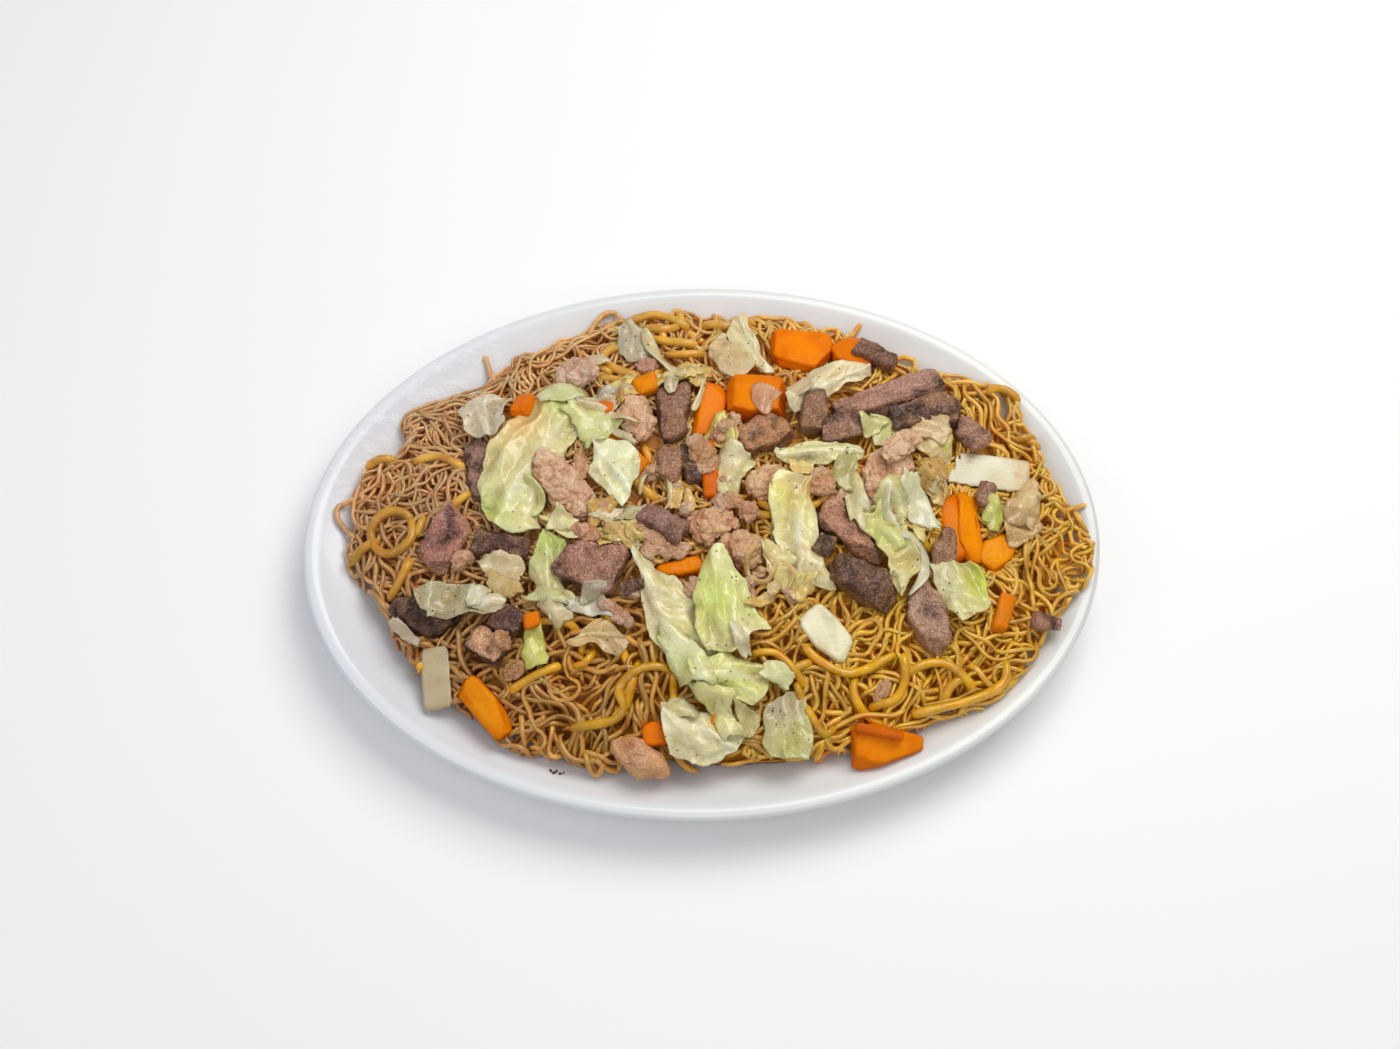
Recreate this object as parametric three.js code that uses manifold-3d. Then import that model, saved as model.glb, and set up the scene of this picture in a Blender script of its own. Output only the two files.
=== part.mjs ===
// Pancit: fried noodles with carrot, liver, chicken and cabbage heaped on an oval platter.
// Millimetres. +X runs along the platter, +Y across it, +Z up; z = 0 is the plane the foot ring rests on.

import * as THREE from 'three';
import { mergeVertices } from 'three/addons/utils/BufferGeometryUtils.js';
import Module from 'manifold-3d';

const wasm = await Module();
wasm.setup();

// ---- platter -------------------------------------------------------------
const PLATTER_HALF_LENGTH = 178;
const PLATTER_HALF_WIDTH = 128;
const PLATTER_HEIGHT = 28;
const PLATTER_SIDES = 48;
const STRETCH = PLATTER_HALF_LENGTH - PLATTER_HALF_WIDTH;
const FLOOR_RADIUS = 72;
const FLOOR_TOP = 6.5;
const FLOOR_UNDERSIDE = 2.4;
const WALL = 4;
const FOOT_OUTER = 70;
const FOOT_WIDTH = 5;
const LIP_WIDTH = 8;
const LIP_ROLL = 1.8;
const LIP_THICKNESS = 4.6;
const WALL_STEPS = 4;

// ---- noodle heap ---------------------------------------------------------
const HEAP_CENTRE = [7, 3];
const HEAP_HALF_LENGTH = 164;
const HEAP_HALF_WIDTH = 112;
const HEAP_TOP = 44;
const HEAP_EDGE = 27;
const HEAP_SIDES = 40;
const HEAP_RINGS = 7;
const HEAP_SHOULDER = 2.6;
const HEAP_KNOLLS = 1.8;
// Bays and spurs of the outline: direction in degrees, depth as a share of the radius, spread in degrees.
const HEAP_BAYS = [
  [136, -0.04, 7],
  [54, -0.06, 11],
  [196, -0.05, 8],
  [156, -0.04, 5],
  [13, -0.03, 7],
  [30, 0.02, 8],
  [97, 0.04, 6],
  [108, 0.04, 6],
  [147, 0.05, 6],
  [164, 0.05, 7],
  [222, 0.04, 6],
  [238, 0.04, 6],
  [255, 0.04, 7],
  [313, 0.04, 10],
];

// ---- pile ----------------------------------------------------------------
const GAP = 0.35;
const SINK = 2.2;
const PROBE_HEIGHT = 200;
const LEAF_CELL = 8.5;
const LEAF_SETTLING = 8;
const LEAF_THICKNESS = 1.7;
const LEAF_CLEARANCE = 1.6;

const toRadians = THREE.MathUtils.degToRad;
const clamp = THREE.MathUtils.clamp;

function material(colour, roughness) {
  return new THREE.MeshStandardMaterial({ color: colour, roughness, metalness: 0 });
}

const GLAZE = material(0xe3e6ea, 0.25);
const NOODLE = material(0xc08a3c, 0.45);
const CARROT = material(0xf07a08, 0.4);
const LIVER = material(0x8a6a60, 0.6);
const CHICKEN = material(0xd3a17f, 0.6);
const CABBAGE = material(0xd6d79a, 0.4);
const STEM = material(0xdfdcc0, 0.4);

const group = new THREE.Group();
group.name = 'pancit';
const pile = [];
let taken = null;

// ---- helpers -------------------------------------------------------------

// Smooth unevenness between about -1 and 1, different for each seed.
function wobble(x, y, z, seed) {
  const a = Math.sin(x * 0.31 + seed * 1.7 + Math.sin(y * 0.23 + seed));
  const b = Math.sin(y * 0.37 - seed * 2.3 + Math.sin(z * 0.41 - seed));
  const c = Math.sin((x + y) * 0.19 + z * 0.29 + seed * 0.9);
  return (a + b + c) / 3;
}

function warp(geometry, move) {
  const positions = geometry.attributes.position;
  const point = new THREE.Vector3();
  for (let i = 0; i < positions.count; i++) {
    point.fromBufferAttribute(positions, i);
    move(point);
    positions.setXYZ(i, point.x, point.y, point.z);
  }
  return geometry;
}

function toSolid(geometry) {
  const bare = geometry.clone();
  bare.deleteAttribute('normal');
  bare.deleteAttribute('uv');
  const merged = mergeVertices(bare, 1e-4);
  return new wasm.Manifold(new wasm.Mesh({
    numProp: 3,
    vertProperties: new Float32Array(merged.attributes.position.array),
    triVerts: new Uint32Array(merged.index.array),
  }));
}

function toGeometry(solid) {
  const mesh = solid.getMesh();
  const geometry = new THREE.BufferGeometry();
  geometry.setAttribute('position', new THREE.BufferAttribute(mesh.vertProperties, 3));
  geometry.setIndex(new THREE.BufferAttribute(mesh.triVerts, 1));
  geometry.computeVertexNormals();
  return geometry;
}

function largestBody(solid) {
  const bodies = solid.decompose();
  return bodies.reduce((best, body) => (body.volume() > best.volume() ? body : best));
}

function addNode(name, solid, surface) {
  const mesh = new THREE.Mesh(toGeometry(solid), surface);
  mesh.name = name;
  group.add(mesh);
  pile.push(mesh);
}

const prober = new THREE.Raycaster();
const DOWN = new THREE.Vector3(0, 0, -1);

// Height of whatever is uppermost so far at a place.
function pileTop(x, y) {
  prober.set(new THREE.Vector3(x, y, PROBE_HEIGHT), DOWN);
  const hits = prober.intersectObjects(pile, false);
  return hits.length ? hits[0].point.z : 0;
}

// ---- platter -------------------------------------------------------------

// A ring at a given radius is an oval: the floor stretches evenly, the wall keeps its slope all round.
function makeOval(point) {
  const radius = Math.hypot(point.x, point.y);
  if (radius > 1e-6) {
    point.x += (point.x / radius) * STRETCH * Math.min(1, radius / FLOOR_RADIUS);
  }
}

function lathe(profile) {
  const points = profile.map(([radius, height]) => new THREE.Vector2(radius, height));
  const geometry = new THREE.LatheGeometry(points, PLATTER_SIDES);
  geometry.rotateX(Math.PI / 2);
  return warp(geometry, makeOval);
}

// Height of the wall's upper face between the floor and the lip.
function wallTop(radius) {
  const inner = PLATTER_HALF_WIDTH - LIP_WIDTH;
  const share = (radius - FLOOR_RADIUS) / (inner - FLOOR_RADIUS);
  const rise = PLATTER_HEIGHT - LIP_ROLL - FLOOR_TOP;
  return FLOOR_TOP + rise * Math.pow(share, 1.35);
}

function wallProfile(offset) {
  const inner = PLATTER_HALF_WIDTH - LIP_WIDTH;
  const points = [];
  for (let i = 0; i <= WALL_STEPS; i++) {
    const radius = FLOOR_RADIUS + ((inner - FLOOR_RADIUS) * i) / WALL_STEPS;
    points.push([radius, wallTop(radius) + offset]);
  }
  return points;
}

function platterProfile() {
  const outer = PLATTER_HALF_WIDTH;
  const footInner = FOOT_OUTER - FOOT_WIDTH;
  const underside = wallProfile(-WALL).filter(([radius]) => radius > FOOT_OUTER + WALL);
  return [
    [0, FLOOR_UNDERSIDE],
    [footInner - 1, FLOOR_UNDERSIDE],
    [footInner, 0],
    [FOOT_OUTER, 0],
    [FOOT_OUTER + 1.2, FLOOR_UNDERSIDE],
    ...underside.slice(0, -1).map(([radius, height]) => [radius + 1.5, height]),
    [outer - 2.2, PLATTER_HEIGHT - LIP_THICKNESS - 1],
    [outer, PLATTER_HEIGHT - LIP_THICKNESS / 2],
    [outer - 1.2, PLATTER_HEIGHT - 0.7],
    [outer - 3.5, PLATTER_HEIGHT],
    [outer - LIP_WIDTH + 1.6, PLATTER_HEIGHT - LIP_ROLL / 3],
    ...wallProfile(0).reverse(),
    [0, FLOOR_TOP],
  ];
}

// Everything below the platter's upper face, raised by the gap that food keeps from it.
function platterKeepOut() {
  const outer = PLATTER_HALF_WIDTH + 3;
  return toSolid(lathe([
    [0, -5],
    [outer, -5],
    [outer, PLATTER_HEIGHT + GAP],
    [PLATTER_HALF_WIDTH - LIP_WIDTH + 1.6, PLATTER_HEIGHT + GAP],
    ...wallProfile(GAP).reverse(),
    [0, FLOOR_TOP + GAP],
  ]));
}

// ---- noodle heap ---------------------------------------------------------

function heapReach(angle) {
  const degrees = THREE.MathUtils.radToDeg(angle);
  let reach = 1 + 0.012 * Math.sin(angle * 9 + 1) + 0.012 * Math.sin(angle * 14 + 4);
  for (const [direction, depth, spread] of HEAP_BAYS) {
    const away = THREE.MathUtils.euclideanModulo(degrees - direction + 180, 360) - 180;
    reach += depth * Math.exp(-((away / spread) ** 2));
  }
  return reach;
}

// The heap as a disc of rings drawn up into a low dome; grow adds a skin to its upper face.
function heapSolid(grow) {
  const profile = [new THREE.Vector2(0, 0), new THREE.Vector2(1, 0)];
  for (let i = HEAP_RINGS; i >= 0; i--) {
    profile.push(new THREE.Vector2(i / HEAP_RINGS, 1));
  }
  const dome = new THREE.LatheGeometry(profile, HEAP_SIDES);
  dome.rotateX(Math.PI / 2);
  return toSolid(warp(dome, (point) => {
    const share = Math.hypot(point.x, point.y);
    const angle = Math.atan2(point.y, point.x);
    const reach = heapReach(angle);
    const spread = share * reach + (share > 0.99 ? grow / HEAP_HALF_WIDTH : 0);
    point.x = HEAP_CENTRE[0] + Math.cos(angle) * spread * HEAP_HALF_LENGTH;
    point.y = HEAP_CENTRE[1] + Math.sin(angle) * spread * HEAP_HALF_WIDTH;
    if (point.z < 0.5) {
      point.z = 0;
      return;
    }
    const fall = Math.pow(share, HEAP_SHOULDER);
    const knolls = HEAP_KNOLLS * wobble(point.x, point.y, 0, 3) * (1 - 0.5 * share);
    point.z = HEAP_TOP + (HEAP_EDGE - HEAP_TOP) * fall + knolls + grow;
  }));
}

// ---- toppings ------------------------------------------------------------

// Level, pitch and roll at which a stiff piece comes to rest on the pile.
function restingPlane(spec) {
  const [length, width] = spec.size;
  const along = new THREE.Vector2(1, 0).rotateAround(new THREE.Vector2(), toRadians(spec.turn));
  const across = new THREE.Vector2(-along.y, along.x);
  const probe = (u, v) => pileTop(
    spec.at[0] + along.x * u + across.x * v,
    spec.at[1] + along.y * u + across.y * v,
  );
  const fore = probe(length * 0.34, 0);
  const aft = probe(-length * 0.34, 0);
  const left = probe(0, width * 0.34);
  const right = probe(0, -width * 0.34);
  const middle = probe(0, 0);
  return {
    level: (fore + aft + left + right + 2 * middle) / 6,
    pitch: Math.atan2(fore - aft, length * 0.68),
    roll: Math.atan2(left - right, width * 0.68),
  };
}

function place(geometry, spec, rest) {
  const lean = spec.lean ?? [0, 0];
  const height = rest.level - (spec.sink ?? SINK) + spec.size[2] / 2;
  geometry.rotateX(rest.roll * 0.8 + toRadians(lean[1]));
  geometry.rotateY(-rest.pitch * 0.8 - toRadians(lean[0]));
  geometry.rotateZ(toRadians(spec.turn));
  geometry.translate(spec.at[0], spec.at[1], height);
  return geometry;
}

// Plan of a piece that was cut or torn roughly four-sided: s runs along it and t across it, both -1 to 1.
function piecePlan(spec, s, t) {
  const [length, width] = spec.size;
  const rounding = spec.round ?? 0;
  const u = s * (1 - rounding * t * t);
  const v = t * (1 - rounding * s * s);
  const along = (u * length * (1 + (spec.flare ?? 0) * v)) / 2 + ((spec.slant ?? 0) * v * width) / 2;
  const across = (v * width * (1 - (spec.taper ?? 0) * u)) / 2;
  return [
    along + (1 - v * v) * (spec.swell ?? 0) * u,
    across + (1 - u * u) * ((spec.bow ?? 0) + (spec.belly ?? 0) * v),
  ];
}

// Width of a piece where it is broadest.
function breadth(spec) {
  return spec.size[1] + 2 * (spec.belly ?? 0);
}

// Outline of a cut piece: its four corners are clipped and its long sides may bow or swell.
function cutOutline(spec, grow) {
  const kept = 1 - (spec.clip ?? 0.2);
  const around = [
    [-kept, -1], [0, -1], [kept, -1], [1, -kept], [1, kept],
    [kept, 1], [0, 1], [-kept, 1], [-1, kept], [-1, -kept],
  ];
  const points = around.map(([s, t], i) => {
    const rough = 1 + (spec.rough ?? 0.03) * wobble(i * 5, i * 3, 0, spec.seed);
    const u = s * rough * (1 + (2 * grow) / spec.size[0]);
    const v = t * rough * (1 + (2 * grow) / breadth(spec));
    return new THREE.Vector2(...piecePlan(spec, u, v));
  });
  return new THREE.Shape(points);
}

// Slice, stick, slab or cube: a cut outline with a narrow bevel.
function slabSolid(spec, grow, rest) {
  const thickness = spec.size[2] + 2 * grow;
  const bevel = Math.min(spec.bevel ?? 1, thickness * 0.3);
  const geometry = new THREE.ExtrudeGeometry(cutOutline(spec, grow), {
    depth: thickness - 2 * bevel,
    bevelEnabled: true,
    bevelThickness: bevel,
    bevelSize: bevel,
    bevelOffset: -bevel,
    bevelSegments: 1,
  });
  geometry.translate(0, 0, bevel - thickness / 2);
  warp(geometry, (point) => {
    point.z += (spec.buckle ?? 0.4) * wobble(point.x * 1.3, point.y * 1.3, 0, spec.seed);
    point.z += (spec.arch ?? 0) * (1 - ((2 * point.x) / spec.size[0]) ** 2);
  });
  return toSolid(place(geometry, spec, rest));
}

// Torn, knobbly chunk of meat: a ball with lobes.
function chunkSolid(spec, grow, rest) {
  const geometry = new THREE.IcosahedronGeometry(1, spec.detail ?? 1);
  warp(geometry, (point) => {
    const knob = wobble(point.x * 9, point.y * 9, point.z * 9, spec.seed);
    const waist = (spec.waist ?? 0) * Math.exp(-((point.x * 3.2) ** 2));
    const swell = 1 + (spec.rough ?? 0.12) * knob - waist;
    point.x *= (spec.size[0] / 2) * swell + grow;
    point.y *= ((spec.size[1] / 2) * swell + grow) * (1 - (spec.taper ?? 0) * Math.sign(point.x) * 0.5);
    point.z *= (spec.size[2] / 2) * swell + grow;
    point.y += (spec.bow ?? 0) * (1 - ((2 * point.x) / spec.size[0]) ** 2);
  });
  return toSolid(place(geometry, spec, rest));
}

// Place on the platter of a leaf's grid point.
function leafPlan(spec, s, t) {
  const ragged = 1 + (spec.rough ?? 0.05) * wobble(s * 7, t * 7, 0, spec.seed);
  const [x, y] = piecePlan({ round: 0.06, ...spec }, s * ragged, t * ragged);
  const turn = toRadians(spec.turn);
  return [
    spec.at[0] + x * Math.cos(turn) - y * Math.sin(turn),
    spec.at[1] + x * Math.sin(turn) + y * Math.cos(turn),
  ];
}

// Heights of a soft leaf draped over the pile: it lies on what is below it and bridges the hollows.
function drape(spec, steps) {
  const [rows, columns] = steps;
  const support = [];
  for (let i = 0; i <= rows; i++) {
    support.push([]);
    for (let j = 0; j <= columns; j++) {
      const [x, y] = leafPlan(spec, (2 * i) / rows - 1, (2 * j) / columns - 1);
      const reach = LEAF_CELL * 0.3;
      support[i].push(Math.max(
        pileTop(x, y),
        pileTop(x + reach, y),
        pileTop(x - reach, y),
        pileTop(x, y + reach),
        pileTop(x, y - reach),
      ));
    }
  }
  let heights = support.map((row) => [...row]);
  for (let pass = 0; pass < LEAF_SETTLING; pass++) {
    heights = heights.map((row, i) => row.map((height, j) => {
      const near = [heights[i - 1]?.[j], heights[i + 1]?.[j], row[j - 1], row[j + 1]];
      const known = near.filter((value) => value !== undefined);
      const mean = known.reduce((sum, value) => sum + value, 0) / known.length;
      return Math.max(support[i][j], (height + mean) / 2);
    }));
  }
  return heights;
}

// Shape a leaf takes by itself above what it lies on.
function leafRise(spec, s, t) {
  const arch = (spec.arch ?? 1.5) * (1 - t * t) * (1 - 0.5 * s * s);
  const curl = (spec.curl ?? 0) * Math.abs(t) ** 3;
  const fold = (spec.fold ?? 0) * Math.max(0, 1 - Math.abs(t - (spec.foldAt ?? 0)) * 3);
  const frill = 0.4 * wobble(s * 9, t * 9, 0, spec.seed);
  const waves = Math.sin(s * (spec.waves ?? 4) + spec.seed) * t * t + frill;
  const ends = s > 0 ? (spec.tip ?? 0) * s * s : (spec.heel ?? 0) * s * s;
  return (spec.lift ?? 0.6) + arch + curl + fold + ends + (spec.ruffle ?? 1.2) * (waves + 1);
}

function leafSolid(spec, grow, rest) {
  const [length, width] = spec.size;
  const thickness = spec.size[2] ?? LEAF_THICKNESS;
  const [rows, columns] = leafSteps(spec);
  const geometry = new THREE.BoxGeometry(length, width, thickness, rows, columns, 1);
  warp(geometry, (point) => {
    const i = Math.round((point.x / length + 0.5) * rows);
    const j = Math.round((point.y / width + 0.5) * columns);
    const s = (2 * i) / rows - 1;
    const t = (2 * j) / columns - 1;
    const [x, y] = leafPlan(spec, s * (1 + (2 * grow) / length), t * (1 + (2 * grow) / breadth(spec)));
    const middle = rest[i][j] + GAP + thickness / 2 + leafRise(spec, s, t);
    point.set(x, y, middle + Math.sign(point.z) * (thickness / 2 + grow * LEAF_CLEARANCE));
  });
  return toSolid(geometry);
}

function leafSteps(spec) {
  return [
    clamp(Math.round(spec.size[0] / LEAF_CELL), 3, 8),
    clamp(Math.round(breadth(spec) / LEAF_CELL), 2, 5),
  ];
}

// Lays one more piece on the pile, cut away where it meets what lies there already.
function lay(name, surface, maker, rest, spec) {
  const body = maker(spec, 0, rest).subtract(taken);
  const grown = maker(spec, GAP, rest);
  addNode(name, largestBody(body), surface);
  taken = taken.add(grown);
}

let pieces = 0;

function slab(name, surface, spec) {
  pieces += 1;
  const seeded = { seed: pieces, ...spec };
  lay(name, surface, slabSolid, restingPlane(seeded), seeded);
}

function chunk(name, surface, spec) {
  pieces += 1;
  const seeded = { seed: pieces, ...spec };
  lay(name, surface, chunkSolid, restingPlane(seeded), seeded);
}

function leaf(name, surface, spec) {
  pieces += 1;
  const seeded = { seed: pieces, ...spec };
  lay(name, surface, leafSolid, drape(seeded, leafSteps(seeded)), seeded);
}

// ---- assembly ------------------------------------------------------------

const platter = toSolid(lathe(platterProfile()));
const keepOut = platterKeepOut();
addNode('platter', platter, GLAZE);
addNode('noodles', largestBody(heapSolid(0).subtract(keepOut)), NOODLE);
taken = keepOut.add(heapSolid(GAP));

// Low pieces round the edge and under the others.
slab('liver_01', LIVER, { at: [-98, 32], size: [33, 13, 8], turn: 99, clip: 0.2 });
slab('liver_02', LIVER, {
  at: [-119, -35], size: [23, 22, 8], turn: -40, slant: 0.54, flare: -0.21, taper: 0.2, bow: 0.5,
  belly: 1.5,
});
slab('cabbage_01', STEM, { at: [-116, -63], size: [28, 13, 3.5], turn: -86, clip: 0.16, arch: 1 });
slab('liver_03', LIVER, { at: [-93, -53], size: [18, 12, 11], turn: -34, slant: 0.12, taper: 0.15 });
slab('carrot_01', CARROT, { at: [110, -2], size: [38, 9, 4], turn: 92, clip: 0.38 });
slab('carrot_02', CARROT, { at: [-34, 39], size: [36, 9, 4], turn: 128, bow: 1.5, clip: 0.2 });
slab('carrot_03', CARROT, { at: [-94, -78], size: [29, 11, 8], turn: -50, clip: 0.18 });
slab('carrot_04', CARROT, { at: [77, -97], size: [30, 14, 8], turn: 5, taper: 0.6, clip: 0.2 });
slab('carrot_05', CARROT, { at: [-22, -92], size: [10, 10, 9], turn: 4, clip: 0.12 });
chunk('chicken_01', CHICKEN, { at: [30, 18], size: [20, 18, 13], turn: 30 });
chunk('chicken_02', CHICKEN, { at: [17, -14], size: [23, 18, 14], turn: -15, rough: 0.06 });
chunk('chicken_03', CHICKEN, { at: [-29, -102], size: [29, 16, 12], turn: -30, rough: 0.05 });

// Far side, from the left to the right.
leaf('cabbage_02', CABBAGE, {
  at: [-30, 94], size: [23, 11], turn: -71, flare: 0.24, taper: -0.07, bow: 1, belly: 3, arch: 2,
});
leaf('cabbage_03', CABBAGE, {
  at: [24, 88], size: [32, 10], turn: -64, slant: -0.23, flare: 0.2, taper: 0.42, bow: 0.5,
  belly: 0.5, fold: 2,
});
leaf('cabbage_04', CABBAGE, {
  at: [14, 82], size: [22, 12], turn: -46, slant: -0.1, flare: 0.28, taper: 0.14, bow: 1, belly: 1,
});
slab('carrot_06', CARROT, { at: [26, 61], size: [26, 20, 11], turn: 0, clip: 0.2, lean: [0, -8] });
slab('carrot_07', CARROT, { at: [48, 88], size: [28, 21, 7], turn: -3, clip: 0.24, rough: 0.08 });
slab('carrot_08', CARROT, { at: [71, 87], size: [22, 18, 8], turn: 0, clip: 0.44 });
leaf('cabbage_05', CABBAGE, {
  at: [60, 64], size: [47, 5], turn: 31, slant: -0.25, taper: -0.06, bow: 6, belly: 5, arch: 3,
  fold: 2,
});
leaf('cabbage_06', CABBAGE, {
  at: [95, 40], size: [37, 16], turn: -11, slant: -0.16, taper: -0.11, bow: 1, belly: 1, swell: 1,
  ruffle: 1.8,
});
slab('liver_04', LIVER, { at: [104, 57], size: [32, 14, 8], turn: -8, rough: 0.12 });
slab('liver_05', LIVER, { at: [87, 62], size: [54, 13, 9], turn: 22, rough: 0.08 });
slab('liver_06', LIVER, { at: [51, 53], size: [21, 12, 11], turn: 82, clip: 0.38 });
leaf('cabbage_07', CABBAGE, { at: [52, 32], size: [45, 4], turn: 2, taper: -0.1, belly: 4, arch: 2.5 });
slab('liver_07', LIVER, {
  at: [28, 41], size: [27, 13, 11], turn: 24, slant: -0.39, flare: -0.12, taper: -0.19, bow: 0.5,
  belly: 1.5, rough: 0.08,
});
slab('liver_08', LIVER, { at: [64, 47], size: [21, 15, 9], turn: 8, rough: 0.1 });

// Left half.
leaf('cabbage_08', CABBAGE, {
  at: [-69, 30], size: [67, 26], turn: 64, slant: 0.19, flare: 0.15, taper: 0.07, bow: 10.5,
  belly: 2.5, swell: 3, arch: 5, ruffle: 2,
});
leaf('cabbage_09', CABBAGE, {
  at: [-97, 55], size: [19, 20], turn: -5, flare: 0.23, taper: -0.15, bow: 0.5, belly: 1.5,
  swell: 1.5, arch: 3,
});
chunk('chicken_04', CHICKEN, { at: [-28, 51], size: [27, 17, 12], turn: 110 });
chunk('chicken_05', CHICKEN, {
  at: [-61, 18], size: [38, 22, 15], turn: -48, waist: 0.22, detail: 2, rough: 0.16,
});
leaf('cabbage_10', CABBAGE, {
  at: [-39, 24], size: [27, 16], turn: -46, slant: -0.35, bow: 3.5, belly: 3.5, arch: 3,
});
slab('carrot_09', CARROT, { at: [5, 57], size: [31, 13, 4], turn: 72, clip: 0.26, lean: [0, 12] });
slab('liver_09', LIVER, {
  at: [-12, 52], size: [36, 13, 9], turn: 87, slant: -0.17, taper: -0.16, rough: 0.08,
});
slab('liver_10', LIVER, { at: [-113, -3], size: [27, 17, 9], turn: 58, slant: 0.25, clip: 0.16 });
leaf('cabbage_11', CABBAGE, {
  at: [-61, -22], size: [37, 11], turn: -85, flare: -0.19, bow: -7.5, belly: 1.5, arch: 4,
  ruffle: 2,
});
slab('liver_11', LIVER, {
  at: [-49, -20], size: [28, 20, 12], turn: -17, slant: 0.18, flare: -0.05, taper: -0.24,
  swell: 0.5, clip: 0.24,
});
leaf('cabbage_12', CABBAGE, {
  at: [-107, -36], size: [31, 12], turn: -1, flare: 0.18, taper: 0.21, bow: 3, belly: 2, ruffle: 3,
  arch: 2,
});
slab('liver_12', LIVER, {
  at: [-85, -42], size: [15, 13, 9], turn: -37, flare: 0.08, clip: 0.16, rough: 0.08,
});
leaf('cabbage_13', CABBAGE, {
  at: [-44, -52], size: [20, 11], turn: -25, slant: 0.51, flare: -0.17, taper: 0.3, bow: 1,
  belly: 1, arch: 2,
});

// Right half.
slab('carrot_10', CARROT, { at: [118, -1], size: [36, 12, 4], turn: 90, clip: 0.36, lean: [0, 10] });
slab('carrot_11', CARROT, {
  at: [130, -12], size: [20, 11, 5], turn: 55, slant: -0.21, flare: -0.1, belly: 1, clip: 0.3,
});
leaf('cabbage_14', CABBAGE, {
  at: [112, -33], size: [28, 19], turn: -67, flare: -0.22, bow: 0.5, belly: 1.5, swell: -1.5,
  ruffle: 2.4, arch: 3,
});
slab('liver_13', LIVER, {
  at: [106, -14], size: [20, 11, 8], turn: 76, slant: 0.26, flare: -0.07, taper: 0.41,
});
slab('cabbage_15', STEM, {
  at: [130, 26], size: [37, 17, 3.5], turn: -6, slant: 0.15, flare: -0.07, clip: 0.1, arch: 1,
});
leaf('cabbage_16', CABBAGE, {
  at: [85, -17], size: [27, 16], turn: -72, slant: -0.33, flare: -0.36, taper: -0.11, bow: 1,
  ruffle: 2.6, curl: 2,
});
chunk('chicken_06', CHICKEN, { at: [83, 21], size: [34, 24, 15], turn: 60, detail: 2, rough: 0.14 });
leaf('cabbage_17', CABBAGE, {
  at: [44, -5], size: [50, 16], turn: -85, slant: 0.37, flare: 0.06, taper: -0.18, bow: -3.5,
  belly: 2.5, arch: 3,
});
slab('liver_14', LIVER, {
  at: [65, -7], size: [35, 13, 9], turn: -44, flare: 0.05, taper: 0.38, bow: 0.5, belly: 0.5,
  clip: 0.26,
});
slab('liver_15', LIVER, {
  at: [69, -29], size: [33, 14, 12], turn: -30, slant: -0.21, flare: -0.15, taper: -0.25, belly: 1,
  clip: 0.26, rough: 0.07,
});
slab('liver_16', LIVER, {
  at: [97, -45], size: [29, 15, 10], turn: -60, slant: -0.57, flare: 0.11, taper: 0.08, belly: 1,
  clip: 0.3,
});
slab('cabbage_18', STEM, {
  at: [53, -50], size: [26, 12, 4], turn: -47, slant: -0.19, flare: -0.09, taper: 0.09, bow: -1,
  belly: 2, clip: 0.22, arch: 1.5,
});

// Middle and near side.
chunk('chicken_07', CHICKEN, { at: [5, -3], size: [25, 19, 13], turn: -15, detail: 2, rough: 0.14 });
leaf('cabbage_19', CABBAGE, {
  at: [34, -92], size: [27, 17], turn: -88, flare: 0.08, taper: -0.05, belly: 1, arch: 2,
});
leaf('cabbage_20', CABBAGE, {
  at: [-2, -92], size: [34, 21], turn: -4, slant: -0.07, flare: 0.09, taper: 0.11, bow: -3.5,
  belly: 1.5, swell: 0.5, arch: 2.5,
});
leaf('cabbage_21', CABBAGE, {
  at: [-9, -46], size: [56, 15], turn: -67, slant: 0.24, flare: -0.34, bow: -4, belly: 4,
  swell: -1.5, arch: 3, ruffle: 1.6,
});
slab('carrot_12', CARROT, {
  at: [-9, -21], size: [23, 7, 6], turn: 10, slant: 0.48, taper: -0.12, clip: 0.18,
});
leaf('cabbage_22', CABBAGE, {
  at: [10, -73], size: [30, 19], turn: -5, slant: 0.1, flare: 0.22, taper: 0.05, swell: 2.5,
  ruffle: 2.4, arch: 3,
});
leaf('cabbage_23', CABBAGE, {
  at: [11, -37], size: [40, 17], turn: -79, slant: -0.08, flare: -0.11, taper: -0.62, bow: -4,
  belly: 4, swell: 3, ruffle: 2.2, arch: 4,
});

export default group;
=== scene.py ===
# Pancit on an oval platter: fine rice noodles and thick yellow noodles tossed in sauce,
# under cabbage, carrot, liver and chicken. Everything is placed in the frame's metres.

import math
import random

import bmesh
import bpy
import numpy as np
from mathutils import Matrix, Vector, noise
from mathutils.bvhtree import BVHTree
from mathutils.kdtree import KDTree


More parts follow.
